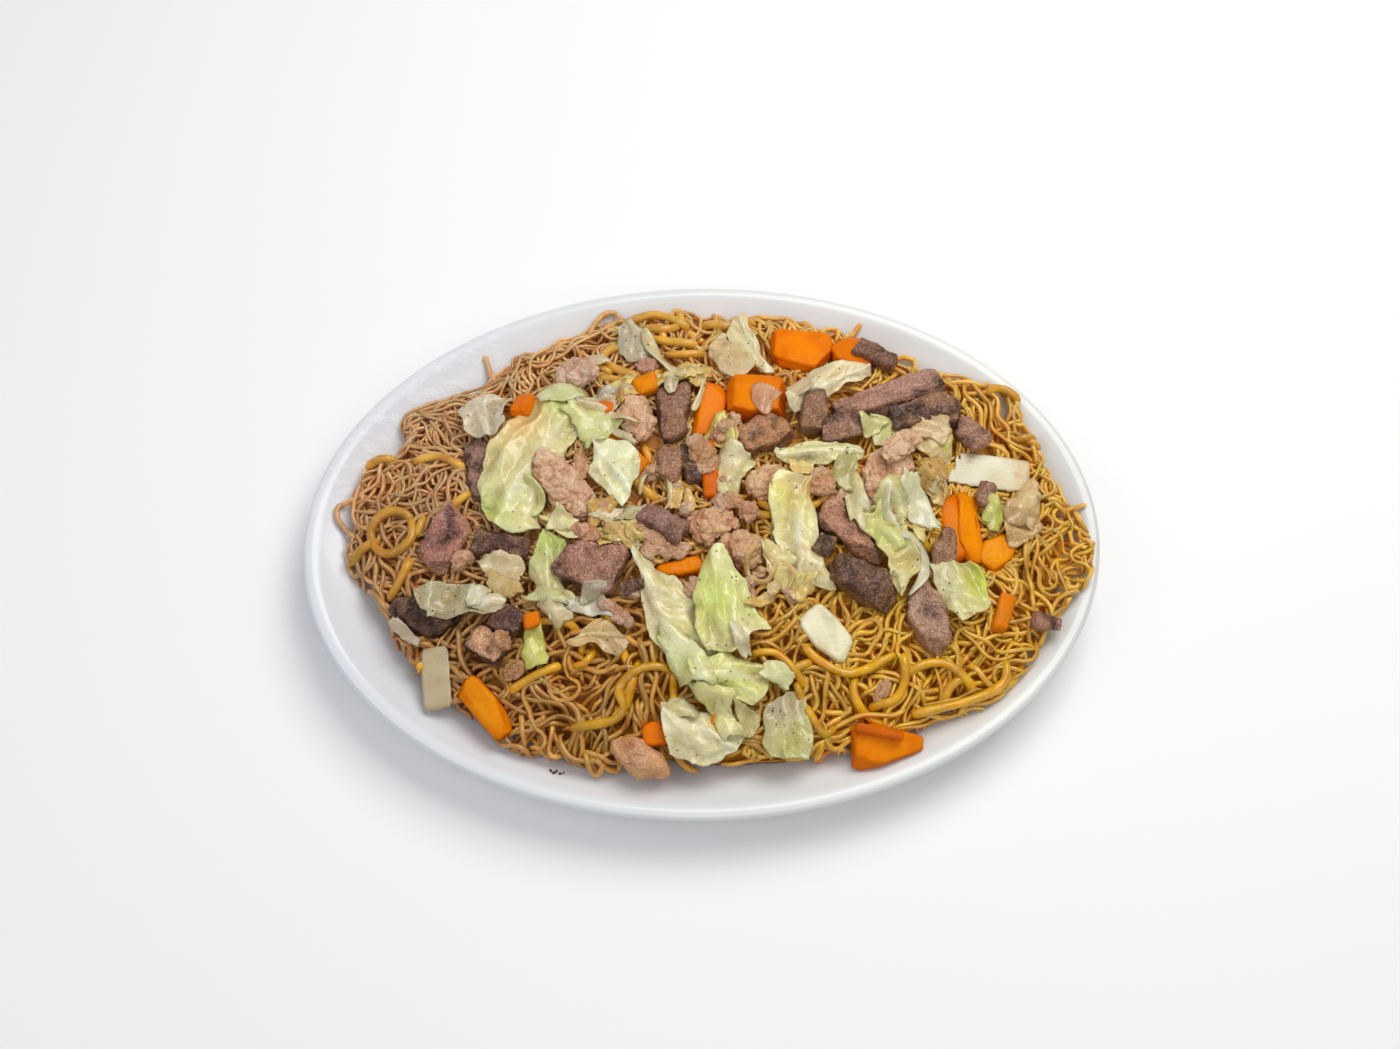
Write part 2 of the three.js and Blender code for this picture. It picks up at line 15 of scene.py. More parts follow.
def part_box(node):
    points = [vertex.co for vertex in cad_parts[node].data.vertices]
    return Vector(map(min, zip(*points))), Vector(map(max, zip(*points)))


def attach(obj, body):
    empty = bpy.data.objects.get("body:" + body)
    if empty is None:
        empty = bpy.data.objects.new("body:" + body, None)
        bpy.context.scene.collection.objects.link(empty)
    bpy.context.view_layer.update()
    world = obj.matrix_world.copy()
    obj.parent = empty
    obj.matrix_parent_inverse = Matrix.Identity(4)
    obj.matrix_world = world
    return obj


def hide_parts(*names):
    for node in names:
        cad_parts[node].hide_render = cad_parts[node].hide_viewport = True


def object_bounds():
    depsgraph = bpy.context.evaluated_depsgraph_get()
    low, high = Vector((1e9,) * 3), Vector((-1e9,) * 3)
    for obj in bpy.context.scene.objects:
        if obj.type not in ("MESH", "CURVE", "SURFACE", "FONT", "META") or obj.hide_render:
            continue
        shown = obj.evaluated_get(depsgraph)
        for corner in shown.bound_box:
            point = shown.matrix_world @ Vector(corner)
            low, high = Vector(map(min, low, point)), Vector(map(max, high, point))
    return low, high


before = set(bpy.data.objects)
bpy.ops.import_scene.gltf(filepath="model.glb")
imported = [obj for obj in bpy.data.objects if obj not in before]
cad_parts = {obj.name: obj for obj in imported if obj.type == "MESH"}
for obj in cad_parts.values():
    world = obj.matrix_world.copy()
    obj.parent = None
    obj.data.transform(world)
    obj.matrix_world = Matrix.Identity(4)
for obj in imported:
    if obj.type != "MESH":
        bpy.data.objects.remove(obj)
cad_low, cad_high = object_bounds()
scene = bpy.context.scene
MM = 0.001

# ---- sizes, in millimetres ------------------------------------------------

HALF_LENGTH, HALF_WIDTH, RIM_HEIGHT = (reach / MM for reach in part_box("platter")[1])
STRETCH = HALF_LENGTH - HALF_WIDTH
FLOOR_RADIUS = 72
FLOOR_TOP = 6.5
FLOOR_UNDERSIDE = 2.4
WALL = 4
FOOT_OUTER = 70
FOOT_WIDTH = 5
LIP_WIDTH = 8
LIP_ROLL = 1.8
LIP_THICKNESS = 4.6
LIP_ROUND = 2.3
SPIN_STEPS = 128

# Strands: thickness of both kinds, and the distance between the points of a strand.
RICE_NOODLE = 2.5
EGG_NOODLE = 4.3
STRAND_STEP = 2.0

# How deep the strands fill the heap in the open and under toppings, how far the last ones rise above it, and
# how much a strand's ends dip.
STRAND_DEPTH = 7
COVERED_DEPTH = 3.2
STRAND_COVER = 1.2
END_DIP = 3.5

# Share of strands that turn back at the heap's edge, and the plan place that they turn to.
STEERED_SHARE = 0.88
STEER_TO = (7, 3)

# The core under the strands: its mesh, how much smaller it is, and the height from which the heap counts.
HEART_VOXEL = 2.2
HEART_INSET = 7
HEAP_FOOT = 0.3

# Toppings: thickness of a leaf, mesh of a rounded piece, and the room in which heights ease off below the top.
LEAF_THICKNESS = 0.75
VOXEL = 0.6
TOP_EASE = 2.4

heap_low, heap_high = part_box("noodles")
HEAP_CENTRE = (heap_low + heap_high) / (2 * MM)
HEAP_HALF = (heap_high - heap_low) / (2 * MM)

# Everyday colours at the far left, far right, near left and near right of the heap.
# For the fine noodles this drift is partly their own tone and partly painted shade, which darkens the near
# left.
RICE_DYES = [(234, 188, 134), (250, 196, 82), (186, 137, 72), (252, 200, 66)]
EGG_DYES = [(246, 190, 78), (252, 192, 44), (234, 174, 12), (254, 194, 6)]

# Thickness of the fine noodles at the same corners, as a share of RICE_NOODLE.
RICE_GIRTHS = [0.66, 0.86, 1.0, 0.92]

# Painted light: how much brighter each millimetre of depth makes a strand at each corner, lifting the shade
# deep in the heap.
DEPTH_PAINTED_LIGHT = [0.17, 0.27, 0.0, 0.22]

# How far the noodles reach past the heap's edge: direction in degrees, millimetres, spread in degrees.
EDGE_REACH = -2.2
EDGE_SPILLS = [
    (186, 9, 8), (349, 7, 12), (150, 5, 4), (33, 4, 6), (238, 4, 6), (313, 3, 5),
    (156, -3, 4), (276, -4, 6), (120, -3, 5), (88, -3, 6), (12, -2, 8),
]

# Plan lines of the thick noodles that lie in plain sight, in millimetres.
EGG_GUIDES = [
    [(-128, 8), (-132, 12), (-138, 13), (-144, 10), (-147, 4), (-145, -3), (-139, -7), (-132, -5), (-128, 0),
     (-129, 9)],
    [(-129, 37), (-118, 38), (-107, 32), (-101, 25), (-102, 19), (-110, 13), (-118, 8)],
    [(-123, 10), (-126, 0)],
    [(-139, 55), (-136, 67), (-131, 60)],
    [(-155, 36), (-147, 40), (-138, 40)],
    [(-161, -10), (-150, -3), (-143, 0)],
    [(-128, -10), (-133, -20), (-138, -27)],
    [(-32, 108), (-18, 111), (-4, 103)],
    [(-33, 88), (-36, 92), (-41, 90), (-43, 85), (-36, 78), (-26, 74)],
    [(-52, 81), (-46, 81), (-39, 77)],
    [(-26, 103), (-15, 101), (-8, 104)],
    [(-22, 97), (-13, 94), (0, 92)],
    [(-15, 87), (-6, 86), (3, 87)],
    [(148, 44), (156, 38), (156, 30)],
    [(-58, -89), (-40, -87), (-35, -82), (-37, -74), (-28, -66), (-18, -65), (-14, -68)],
    [(-47, -55), (-52, -62), (-57, -62)],
    [(20, -60), (30, -60), (38, -68), (42, -74)],
    [(42, -56), (50, -64), (60, -69), (70, -66), (82, -60)],
    [(38, -72), (44, -86), (50, -94), (55, -90)],
    [(85, -60), (85, -72), (80, -80), (70, -82)],
    [(130, -62), (128, -72), (115, -79), (95, -84), (88, -85)],
    [(132, 68), (140, 68), (150, 60), (152, 52)],
    [(143, 43), (153, 44), (157, 36), (152, 28)],
    [(98, 30), (98, 18), (99, 8)],
    [(105, 28), (105, 18), (106, 10)],
    [(84, 3), (91, -5), (99, -14)],
    [(-62, -62), (-72, -66), (-84, -72)],
    [(-122, -50), (-124, -60), (-127, -66)],
]
STRAY_GUIDES = [
    [(-155, 22), (-163, 20), (-163, 13), (-155, 4)],
    [(-50, 102), (-45, 113), (-38, 115), (-35, 108)],
    [(-99, 95), (-97, 88), (-94, 80)],
    [(58, 100), (62, 105), (66, 101), (64, 96)],
    [(68, 97), (73, 102), (77, 107)],
    [(113, 72), (124, 73), (131, 71), (134, 75)],
    [(90, 82), (94, 90), (101, 88), (100, 80)],
    [(162, 8), (168, 10), (173, 12)],
    [(-52, -98), (-50, -105), (-46, -107), (-44, -102)],
    [(-14, 106), (-10, 113), (-4, 112)],
    [(10, 104), (8, 112), (12, 114)],
    [(40, 98), (42, 106), (47, 100)],
]

# Curled strips of leaf and onion: plan line, width, blade and pale everyday colours.
RIBBONS = [
    ([(82, 14), (80, 3), (84, -7), (90, -11), (96, -18), (95, -28), (88, -37)], 5,
     (222, 218, 184), (244, 242, 222)),
    ([(-55, 58), (-46, 57), (-37, 52), (-27, 46)], 4.4, (228, 208, 162), (246, 236, 208)),
    ([(-25, 99), (-21, 89), (-14, 79), (-6, 70)], 6, (216, 198, 146), (240, 232, 196)),
    ([(-27, 13), (-25, 21), (-19, 24), (-14, 19), (-14, 10), (-17, 5)], 2.6, (222, 198, 140), (244, 234, 200)),
    ([(3, 71), (1, 62), (-3, 54)], 3.4, (226, 210, 158), (246, 238, 204)),
    ([(25, -15), (19, -20), (20, -28), (27, -30), (31, -23), (26, -17)], 2.6, (216, 176, 106), (240, 210, 150)),
    ([(33, -20), (38, -26), (36, -33)], 3, (222, 186, 116), (242, 214, 158)),
    ([(-78, 22), (-70, 12), (-74, 4)], 4, (214, 216, 140), (240, 240, 190)),
]


# ---- colours and finishes -------------------------------------------------

def dye(red, green, blue):
    """Linear colour of an everyday 0-255 one."""
    linear = []
    for part in (red, green, blue):
        share = part / 255
        linear.append(share / 12.92 if share <= 0.04045 else ((share + 0.055) / 1.055) ** 2.4)
    return (*linear, 1.0)


def mixed(first, second, share):
    """A colour between two others."""
    share = min(1.0, max(0.0, share))
    return tuple(a + (b - a) * share for a, b in zip(first, second))


class Finish:
    """A material and the small steps that its nodes are wired with.

    The coat is its weight and roughness; the body is how much light goes inside, how deep and in which hue.
    """

    def __init__(self, name, specular, coat=(0.0, 0.03), body=(0.0, 0.05, (1.0, 0.2, 0.1)), **shader):
        self.material = bpy.data.materials.new(name)
        self.material.use_nodes = True
        self.tree = self.material.node_tree
        self.shader = self.tree.nodes["Principled BSDF"]
        self.wire(Specular_IOR_Level=specular, Coat_Weight=coat[0], Coat_Roughness=coat[1],
                  Subsurface_Weight=body[0], Subsurface_Scale=body[1], Subsurface_Radius=body[2], **shader)
        self.place = self.add("TexCoord").outputs["Object"]

    def feed(self, node, inputs):
        """Links each input that is given another node's output, and sets the others."""
        for key, value in inputs.items():
            if isinstance(value, bpy.types.NodeSocket):
                self.tree.links.new(value, node.inputs[key])
            else:
                node.inputs[key].default_value = value
        return node

    def add(self, kind, inputs=None, **settings):
        made = self.tree.nodes.new("ShaderNode" + kind)
        for key, value in settings.items():
            setattr(made, key, value)
        return self.feed(made, inputs or {})

    def grain(self, size, detail=2.0, roughness=0.5, stretch=None):
        """Cloudy pattern whose blots are about size millimetres across."""
        place = self.place
        if stretch:
            place = self.add("Mapping", {"Vector": place, "Scale": stretch}).outputs["Vector"]
        settings = {"Vector": place, "Scale": 1 / (size * MM), "Detail": detail, "Roughness": roughness}
        return self.add("TexNoise", settings).outputs["Fac"]

    def cells(self, size, feature="F1"):
        settings = {"Vector": self.place, "Scale": 1 / (size * MM)}
        return self.add("TexVoronoi", settings, feature=feature).outputs["Distance"]

    def level(self, value, low, high, start=0.0, end=1.0):
        settings = {"Value": value, "From Min": low, "From Max": high, "To Min": start, "To Max": end}
        return self.add("MapRange", settings).outputs["Result"]

    def times(self, first, second):
        return self.add("Math", {0: first, 1: second}, operation="MULTIPLY").outputs["Value"]

    def blend(self, share, first, second, mode="MIX"):
        return self.add("Mix", {0: share, 6: first, 7: second}, data_type="RGBA", blend_type=mode).outputs[2]

    def stain(self, under, tint, pattern, low, high, share, mode="MIX"):
        """Lays a colour over another, up to a share, where a pattern rises from low to high."""
        return self.blend(self.level(pattern, low, high, 0.0, share), under, dye(*tint), mode)

    def gloss(self, size, low, high):
        """Roughness that drifts between two values."""
        return self.level(self.grain(size, 2), 0.3, 0.7, low, high)

    def painted(self):
        return self.add("Attribute", attribute_name="dye").outputs["Color"]

    # Share of painted shade in a piece's hollows.
    def hollow_shade(self):
        return self.add("Attribute", attribute_name="hollow_shade").outputs["Fac"]

    def bump(self, height, depth, after=None):
        settings = {"Height": height, "Strength": 1.0, "Distance": depth * MM}
        if after:
            settings["Normal"] = after
        return self.add("Bump", settings).outputs["Normal"]

    def wire(self, **sockets):
        self.feed(self.shader, {key.replace("_", " "): value for key, value in sockets.items()})
        return self.material


def glaze():
    """White glazed ware with greasy smears on the far left wall; painted light tints it cooler on the left and
    warmer on the right, and painted shade darkens the right inner wall.
    """
    f = Finish("platter_glaze", 0.4, coat=(0.15, 0.06))
    axes = f.add("SeparateXYZ", {"Vector": f.place})
    right, far = axes.outputs["X"], axes.outputs["Y"]
    across = f.level(right, -HALF_LENGTH * MM, HALF_LENGTH * MM)
    # Painted light: a cool tint on the left that turns warm towards the right.
    body = f.blend(across, dye(226, 228, 234), dye(230, 232, 228))
    smear = f.level(f.grain(9, 5, 0.65, (1.0, 2.2, 1.0)), 0.47, 0.66)
    grease = f.times(f.times(f.level(right, -0.05, -0.11), f.level(far, 0.0, 0.05)), smear)
    body = f.blend(f.times(grease, 0.6), body, dye(242, 244, 250))
    body = f.stain(body, (206, 208, 218), f.grain(30, 3), 0.3, 0.7, 0.12)
    # Painted shade on the right inner wall and lip.
    body = f.stain(body, (206, 208, 208), right, 0.14, 0.176, 0.7)
    normal = f.bump(f.times(grease, f.grain(2.5, 3)), 0.25, f.bump(f.grain(45, 1), 0.25))
    return f.wire(Base_Color=body, Roughness=f.level(grease, 0.0, 1.0, 0.2, 0.42), Normal=normal)


def noodle_finish(name, roughness, body):
    """Starchy translucent strand under a film of oily sauce."""
    f = Finish(name, 0.25, coat=(0.6, 0.1), body=(body, 0.0016, (1.0, 0.8, 0.45)))
    colour = f.stain(f.painted(), (222, 158, 84), f.grain(8, 3), 0.42, 0.68, 0.5, "MULTIPLY")
    colour = f.stain(colour, (244, 206, 140), f.grain(2.2, 2), 0.5, 0.75, 0.25)
    return f.wire(Base_Color=colour, Roughness=f.gloss(4, roughness - 0.08, roughness + 0.14),
                  Normal=f.bump(f.grain(1.1, 2), 0.12))


def sauce_finish():
    """The dark wet inside of the heap, seen between strands."""
    f = Finish("noodle_heart", 0.2)
    colour = f.blend(f.grain(5, 4), f.painted(), dye(224, 162, 58), "MULTIPLY")
    ridges = f.grain(2.2, 3, 0.6, (1.0, 2.6, 1.0))
    return f.wire(Base_Color=colour, Roughness=f.level(ridges, 0.2, 0.8, 0.4, 0.7), Normal=f.bump(ridges, 1.2))


def carrot_finish():
    f = Finish("cooked_carrot", 0.03, coat=(0.1, 0.12), body=(0.06, 0.0012, (1.0, 0.4, 0.05)))
    fibre = f.level(f.grain(2.4, 4, 0.6), 0.3, 0.75)
    colour = f.blend(f.times(fibre, 0.3), f.painted(), dye(218, 106, 0))
    colour = f.stain(colour, (252, 160, 14), f.grain(1.2, 2), 0.58, 0.78, 0.3)
    return f.wire(Base_Color=colour, Roughness=f.gloss(3, 0.3, 0.5), Normal=f.bump(fibre, 0.25))


def liver_finish():
    """Cooked liver: mauve brown, drifting to tan and dark, finely porous, with painted shade darkening its
    hollows.
    """
    f = Finish("cooked_liver", 0.25, coat=(0.25, 0.16))
    colour = f.stain(f.painted(), (196, 150, 112), f.grain(7, 3), 0.42, 0.62, 0.5)
    colour = f.stain(colour, (150, 106, 100), f.grain(9, 2, 0.5, (1.0, 1.0, 1.7)), 0.48, 0.62, 0.3)
    colour = f.stain(colour, (158, 116, 92), f.grain(2.6, 5, 0.72), 0.5, 0.68, 0.35, "MULTIPLY")
    grit = f.level(f.grain(1.0, 5, 0.75), 0.4, 0.6)
    colour = f.blend(1.0, colour, f.blend(grit, dye(212, 192, 184), dye(255, 255, 255)), "MULTIPLY")
    colour = f.blend(f.level(f.cells(1.2), 0.0, 0.3, 0.45, 0.0), colour, dye(74, 44, 32))
    # Painted shade: darker in the hollows of the surface.
    colour = f.blend(f.hollow_shade(), colour, dye(62, 36, 24))
    colour = f.stain(colour, (236, 200, 182), f.grain(1.0, 3, 0.6), 0.56, 0.7, 0.3)
    normal = f.bump(f.level(f.cells(1.2), 0.05, 0.5), 0.4, f.bump(f.grain(1.8, 4, 0.65), 1.0))
    return f.wire(Base_Color=colour, Roughness=f.gloss(2, 0.4, 0.7), Normal=normal)


def chicken_finish():
    """Torn chicken: peach knobs, with painted shade browning the creases."""
    f = Finish("cooked_chicken", 0.3, coat=(0.12, 0.15), body=(0.1, 0.001, (1.0, 0.7, 0.45)))
    colour = f.stain(f.painted(), (232, 178, 146), f.grain(4, 3), 0.45, 0.7, 0.5)
    colour = f.stain(colour, (186, 120, 66), f.grain(1.3, 4, 0.7), 0.58, 0.72, 0.55)
    colour = f.stain(colour, (252, 224, 196), f.grain(1.1, 3, 0.6), 0.55, 0.7, 0.55)
    # Painted shade: browner in the creases.
    colour = f.blend(f.hollow_shade(), colour, dye(190, 126, 84))
    normal = f.bump(f.level(f.cells(1.5), 0.0, 0.6, 1.0, 0.0), 0.6, f.bump(f.grain(0.9, 4, 0.65), 0.8))
    return f.wire(Base_Color=colour, Roughness=f.gloss(2, 0.36, 0.62), Normal=normal)


def leaf_finish(name, clear):
    """Braised cabbage: limp, wet and partly see-through."""
    f = Finish(name, 0.35, coat=(0.7, 0.08), body=(0.3, 0.0016, (0.9, 1.0, 0.35)), Transmission_Weight=clear)
    net = f.level(f.cells(3.6, "DISTANCE_TO_EDGE"), 0.0, 0.08, 0.28, 0.0)
    colour = f.blend(net, f.painted(), dye(246, 242, 200))
    colour = f.stain(colour, (238, 214, 160), f.grain(8, 4, 0.6), 0.42, 0.75, 0.5, "MULTIPLY")
    colour = f.stain(colour, (214, 178, 104), f.grain(6, 4, 0.65), 0.56, 0.7, 0.35)
    colour = f.stain(colour, (158, 116, 54), f.grain(2.2, 4, 0.7), 0.67, 0.8, 0.45)
    normal = f.bump(net, -0.3, f.bump(f.grain(3.5, 4, 0.6), 1.0))
    return f.wire(Base_Color=colour, Roughness=f.gloss(3, 0.24, 0.46), Normal=normal)


def stem_finish():
    """The thick white midrib of a cabbage leaf, with fibres along it."""
    f = Finish("cabbage_stem", 0.3, coat=(0.25, 0.08), body=(0.25, 0.0025, (1.0, 0.9, 0.5)))
    fibre = f.grain(1.6, 3, 0.6, (0.3, 1.5, 1.0))
    colour = f.stain(f.painted(), (196, 178, 130), fibre, 0.35, 0.7, 0.3)
    colour = f.stain(colour, (222, 196, 142), f.grain(8, 3), 0.45, 0.75, 0.35, "MULTIPLY")
    return f.wire(Base_Color=colour, Roughness=f.gloss(3, 0.22, 0.42), Normal=f.bump(fibre, 0.25))


def pepper_finish():
    f = Finish("ground_pepper", 0.2)
    return f.wire(Base_Color=f.blend(f.grain(0.6, 3), dye(62, 34, 14), dye(128, 84, 44)),
                  Roughness=f.level(f.grain(0.5, 2), 0.2, 0.8, 0.5, 0.9))


def floor_finish():
    f = Finish("studio_floor", 0.1, Roughness=0.9)
    return f.wire(Base_Color=f.blend(f.grain(400, 2), dye(252, 252, 252), dye(249, 249, 250)))


GLAZE = glaze()
RICE = noodle_finish("rice_noodle", 0.32, 0.7)
EGG = noodle_finish("egg_noodle", 0.26, 0.4)
HEART = sauce_finish()
CARROT = carrot_finish()
LIVER = liver_finish()
CHICKEN = chicken_finish()
LEAF = leaf_finish("cabbage_leaf", 0.1)
CLEAR_LEAF = leaf_finish("soft_cabbage_leaf", 0.3)
STEM = stem_finish()
PEPPER = pepper_finish()


# ---- shaping helpers ------------------------------------------------------

def shown(name, mesh, finish, slot, *nodes):
    """Puts a finished mesh in the scene as one piece of the dish."""
    mesh.materials.clear()
    mesh.materials.append(finish)
    mesh.shade_smooth()
    thing = bpy.data.objects.new(name, mesh)
    scene.collection.objects.link(thing)
    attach(thing, "root")
    if nodes:
        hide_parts(*nodes)
    return thing


def to_mesh(name, bm):
    mesh = bpy.data.meshes.new(name)
    bm.to_mesh(mesh)
    bm.free()
    return mesh


def merged(node):
    bm = bmesh.new()
    bm.from_mesh(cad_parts[node].data)
    bmesh.ops.remove_doubles(bm, verts=bm.verts, dist=0.01 * MM)
    return bm


def worked(bm, *steps):
    """A bmesh with modifiers applied; each step is a kind and its settings."""
    thing = bpy.data.objects.new("blank", to_mesh("blank", bm))
    scene.collection.objects.link(thing)
    for kind, settings in steps:
        step = thing.modifiers.new(kind, kind)
        for key, value in settings.items():
            setattr(step, key, value)
    depsgraph = bpy.context.evaluated_depsgraph_get()
    made = bpy.data.meshes.new_from_object(thing.evaluated_get(depsgraph))
    bpy.data.objects.remove(thing)
    result = bmesh.new()
    result.from_mesh(made)
    bpy.data.meshes.remove(made)
    return result


def colour_in(mesh, colours):
    layer = mesh.color_attributes.new("dye", "FLOAT_COLOR", "POINT")
    layer.data.foreach_set("color", np.asarray(colours, np.float32).ravel())


def smooth_step(low, high, value):
    share = min(1.0, max(0.0, (value - low) / (high - low)))
    return share * share * (3 - 2 * share)


def under_top(height):
    """A height in metres, eased off so that nothing passes the top of the dish."""
    room = TOP_EASE * MM
    start = cad_high.z - (LEAF_THICKNESS * MM + room)
    return height if height < start else start + room * (1 - math.exp((start - height) / room))


def cloud(point, size, seed=0.0):
    """Noise between about -1 and 1 with blots of size millimetres."""
    return noise.noise(point / (size * MM) + Vector((seed * 7.3, seed * 3.1, seed)))


# ---- stage ----------------------------------------------------------------

def look_from(distance, turn, tilt, target):
    """The place of a camera at a bearing and height above a target, in metres and degrees."""
    turn, tilt = math.radians(turn), math.radians(tilt)
    away = Vector((math.sin(turn) * math.cos(tilt), -math.cos(turn) * math.cos(tilt), math.sin(tilt)))
    return target + away * distance, (-away).to_track_quat("-Z", "Y").to_euler()


# Each lamp: name, size, power, colour, distance, bearing and height above the dish.
LAMPS = [
    ("window_lamp", 0.7, 7.8, (1.0, 0.98, 0.94), 1.1, 140, 60),
    ("side_lamp", 0.8, 2.4, (0.9, 0.94, 1.0), 1.2, -75, 50),
    ("near_lamp", 0.8, 2.4, (1.0, 0.98, 0.96), 1.3, 20, 60),
]
LAMP_TARGET = Vector((0, 0, 0.03))


def set_camera():
    lens = bpy.data.cameras.new("camera")
    lens.lens = 48.82
    lens.sensor_width = 36
    camera = bpy.data.objects.new("camera", lens)
    target = Vector((-0.0007, 0.0065, 0.028))
    camera.location, camera.rotation_euler = look_from(0.850, -1.31, 67.42, target)
    scene.collection.objects.link(camera)
    scene.camera = camera


def set_lamp(name, size, power, colour, distance, turn, tilt):
    light = bpy.data.lights.new(name, "AREA")
    light.size = size
    light.energy = power
    light.color = colour
    lamp = bpy.data.objects.new(name, light)
    lamp.location, lamp.rotation_euler = look_from(distance, turn, tilt, LAMP_TARGET)
    scene.collection.objects.link(lamp)


def set_stage():
    bm = bmesh.new()
    bmesh.ops.create_grid(bm, x_segments=1, y_segments=1, size=3.0)
    floor = bpy.data.objects.new("floor", to_mesh("floor", bm))
    floor.data.materials.append(floor_finish())
    scene.collection.objects.link(floor)
    for lamp in LAMPS:
        set_lamp(*lamp)
    world = bpy.data.worlds.new("studio")
    world.use_nodes = True
    backdrop = world.node_tree.nodes["Background"]
    backdrop.inputs["Color"].default_value = (0.96, 0.98, 1.0, 1.0)
    backdrop.inputs["Strength"].default_value = 0.33
    scene.world = world
    scene.view_settings.view_transform = "Standard"


# ---- platter --------------------------------------------------------------

def wall_height(radius):
    """Upper face of the wall between the floor and the lip."""
    share = (radius - FLOOR_RADIUS) / (HALF_WIDTH - LIP_WIDTH - FLOOR_RADIUS)
    return FLOOR_TOP + (RIM_HEIGHT - LIP_ROLL - FLOOR_TOP) * max(0.0, share) ** 1.35


def platter_outline():
    """Section of the platter from the middle of its underside round the lip to the middle of its top."""
    wall = [FLOOR_RADIUS + (HALF_WIDTH - LIP_WIDTH - FLOOR_RADIUS) * i / 10 for i in range(11)]
    foot_inner = FOOT_OUTER - FOOT_WIDTH
    section = [(0, FLOOR_UNDERSIDE), (foot_inner - 2, FLOOR_UNDERSIDE), (foot_inner - 0.4, 1.0)]
    section += [(foot_inner + 0.8, 0.0), (FOOT_OUTER - 0.8, 0.0), (FOOT_OUTER + 0.3, 0.9)]
    section += [(FOOT_OUTER + 2.0, FLOOR_UNDERSIDE + 0.3)]
    section += [(r + 1.5, wall_height(r) - WALL) for r in wall[1:-1]]
    section += [(HALF_WIDTH - 3.2, RIM_HEIGHT - LIP_THICKNESS - 1.6)]
    for i in range(9):
        angle = math.radians(-80 + 170 * i / 8)
        section.append((HALF_WIDTH - LIP_ROUND + LIP_ROUND * math.cos(angle),
                        RIM_HEIGHT - LIP_ROUND + LIP_ROUND * math.sin(angle)))
    section.append((HALF_WIDTH - 5.0, RIM_HEIGHT - 0.25))
    section.append((HALF_WIDTH - LIP_WIDTH + 1.2, RIM_HEIGHT - LIP_ROLL * 0.55))
    section += [(r, wall_height(r)) for r in reversed(wall)]
    return section + [(FLOOR_RADIUS - 14, FLOOR_TOP - 0.15), (0, FLOOR_TOP - 0.2)]


def make_platter():
    bm = bmesh.new()
    ring = [bm.verts.new((radius * MM, 0, height * MM)) for radius, height in platter_outline()]
    edges = [bm.edges.new(pair) for pair in zip(ring, ring[1:])]
    bmesh.ops.spin(bm, geom=ring + edges, cent=(0, 0, 0), axis=(0, 0, 1), angle=math.tau,
                   steps=SPIN_STEPS, use_merge=True, use_duplicate=False)
    bmesh.ops.remove_doubles(bm, verts=bm.verts, dist=0.02 * MM)
    for vert in bm.verts:
        radius = math.hypot(vert.co.x, vert.co.y) / MM
        if radius > 0.01:
            vert.co.x += vert.co.x / radius * STRETCH * min(1.0, radius / FLOOR_RADIUS)
    bmesh.ops.recalc_face_normals(bm, faces=bm.faces)
    shown("platter_glazed", to_mesh("platter_glazed", bm), GLAZE, "glaze", "platter")


# ---- the lie of the heap --------------------------------------------------

def tree_of(names):
    bm = bmesh.new()
    for name in names:
        bm.from_mesh(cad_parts[name].data)
    tree = BVHTree.FromBMesh(bm)
    bm.free()
    return tree


NODES = sorted(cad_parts)
TOPPINGS = [name for name in NODES if name not in ("platter", "noodles")]

# In metres: a height above the whole dish, and the one that stands for nothing overhead.
HIGH = 0.2
OPEN_SKY = 0.5

AROUND = [(0, 0), (-1, 0), (1, 0), (0, -1), (0, 1)]


class Survey:
    """Heights in metres on a grid of one millimetre, read between its points."""

    across = int(HALF_LENGTH) + 4
    along = int(HALF_WIDTH) + 4

    def __init__(self, grid):
        self.grid = grid

    @classmethod
    def of(cls, read):
        return cls(np.array([
            [read(x * MM, y * MM) for x in range(-cls.across, cls.across + 1)]
            for y in range(-cls.along, cls.along + 1)
        ]))

    def spread(self, pick, reach):
        """Each place takes the lowest, highest or mean value of the places near it."""
        shifts = range(-reach, reach + 1)
        rows = pick([np.roll(self.grid, shift, 0) for shift in shifts], axis=0)
        return Survey(pick([np.roll(rows, shift, 1) for shift in shifts], axis=0))

    def at(self, x, y):
        column = np.clip(np.asarray(x) / MM + self.across, 0, 2 * self.across - 1e-6)
        row = np.clip(np.asarray(y) / MM + self.along, 0, 2 * self.along - 1e-6)
        i, j = row.astype(int), column.astype(int)
        u, v = row - i, column - j
        g = self.grid
        near = g[i, j] * (1 - v) + g[i, j + 1] * v
        far = g[i + 1, j] * (1 - v) + g[i + 1, j + 1] * v
        return near * (1 - u) + far * u

    def cell(self, x, y):
        column = np.clip(np.rint(np.asarray(x) / MM).astype(int) + self.across, 1, 2 * self.across - 1)
        row = np.clip(np.rint(np.asarray(y) / MM).astype(int) + self.along, 1, 2 * self.along - 1)
        return row, column

    def rest(self, x, y, radius):
        """Height at which a strand's middle lies on what is under it."""
        row, column = self.cell(x, y)
        return np.max([self.grid[row + i, column + j] for i, j in AROUND], axis=0) + radius * MM

    def press(self, x, y, height, radius):
        """Raises the grid to the top of a strand that lies there."""
        count = len(x)
        places = np.linspace(0, count - 1, count * 3)
        x, y, height = (np.interp(places, np.arange(count), line) for line in (x, y, height))
        row, column = self.cell(x, y)
        reach = int(radius)
        for i in range(-reach, reach + 1):
            for j in range(-reach, reach + 1):
                drop = math.hypot(i, j) / radius
                if drop < 1:
                    top = height + radius * math.sqrt(1 - drop * drop) * MM
                    np.maximum.at(self.grid, (row + i, column + j), top)


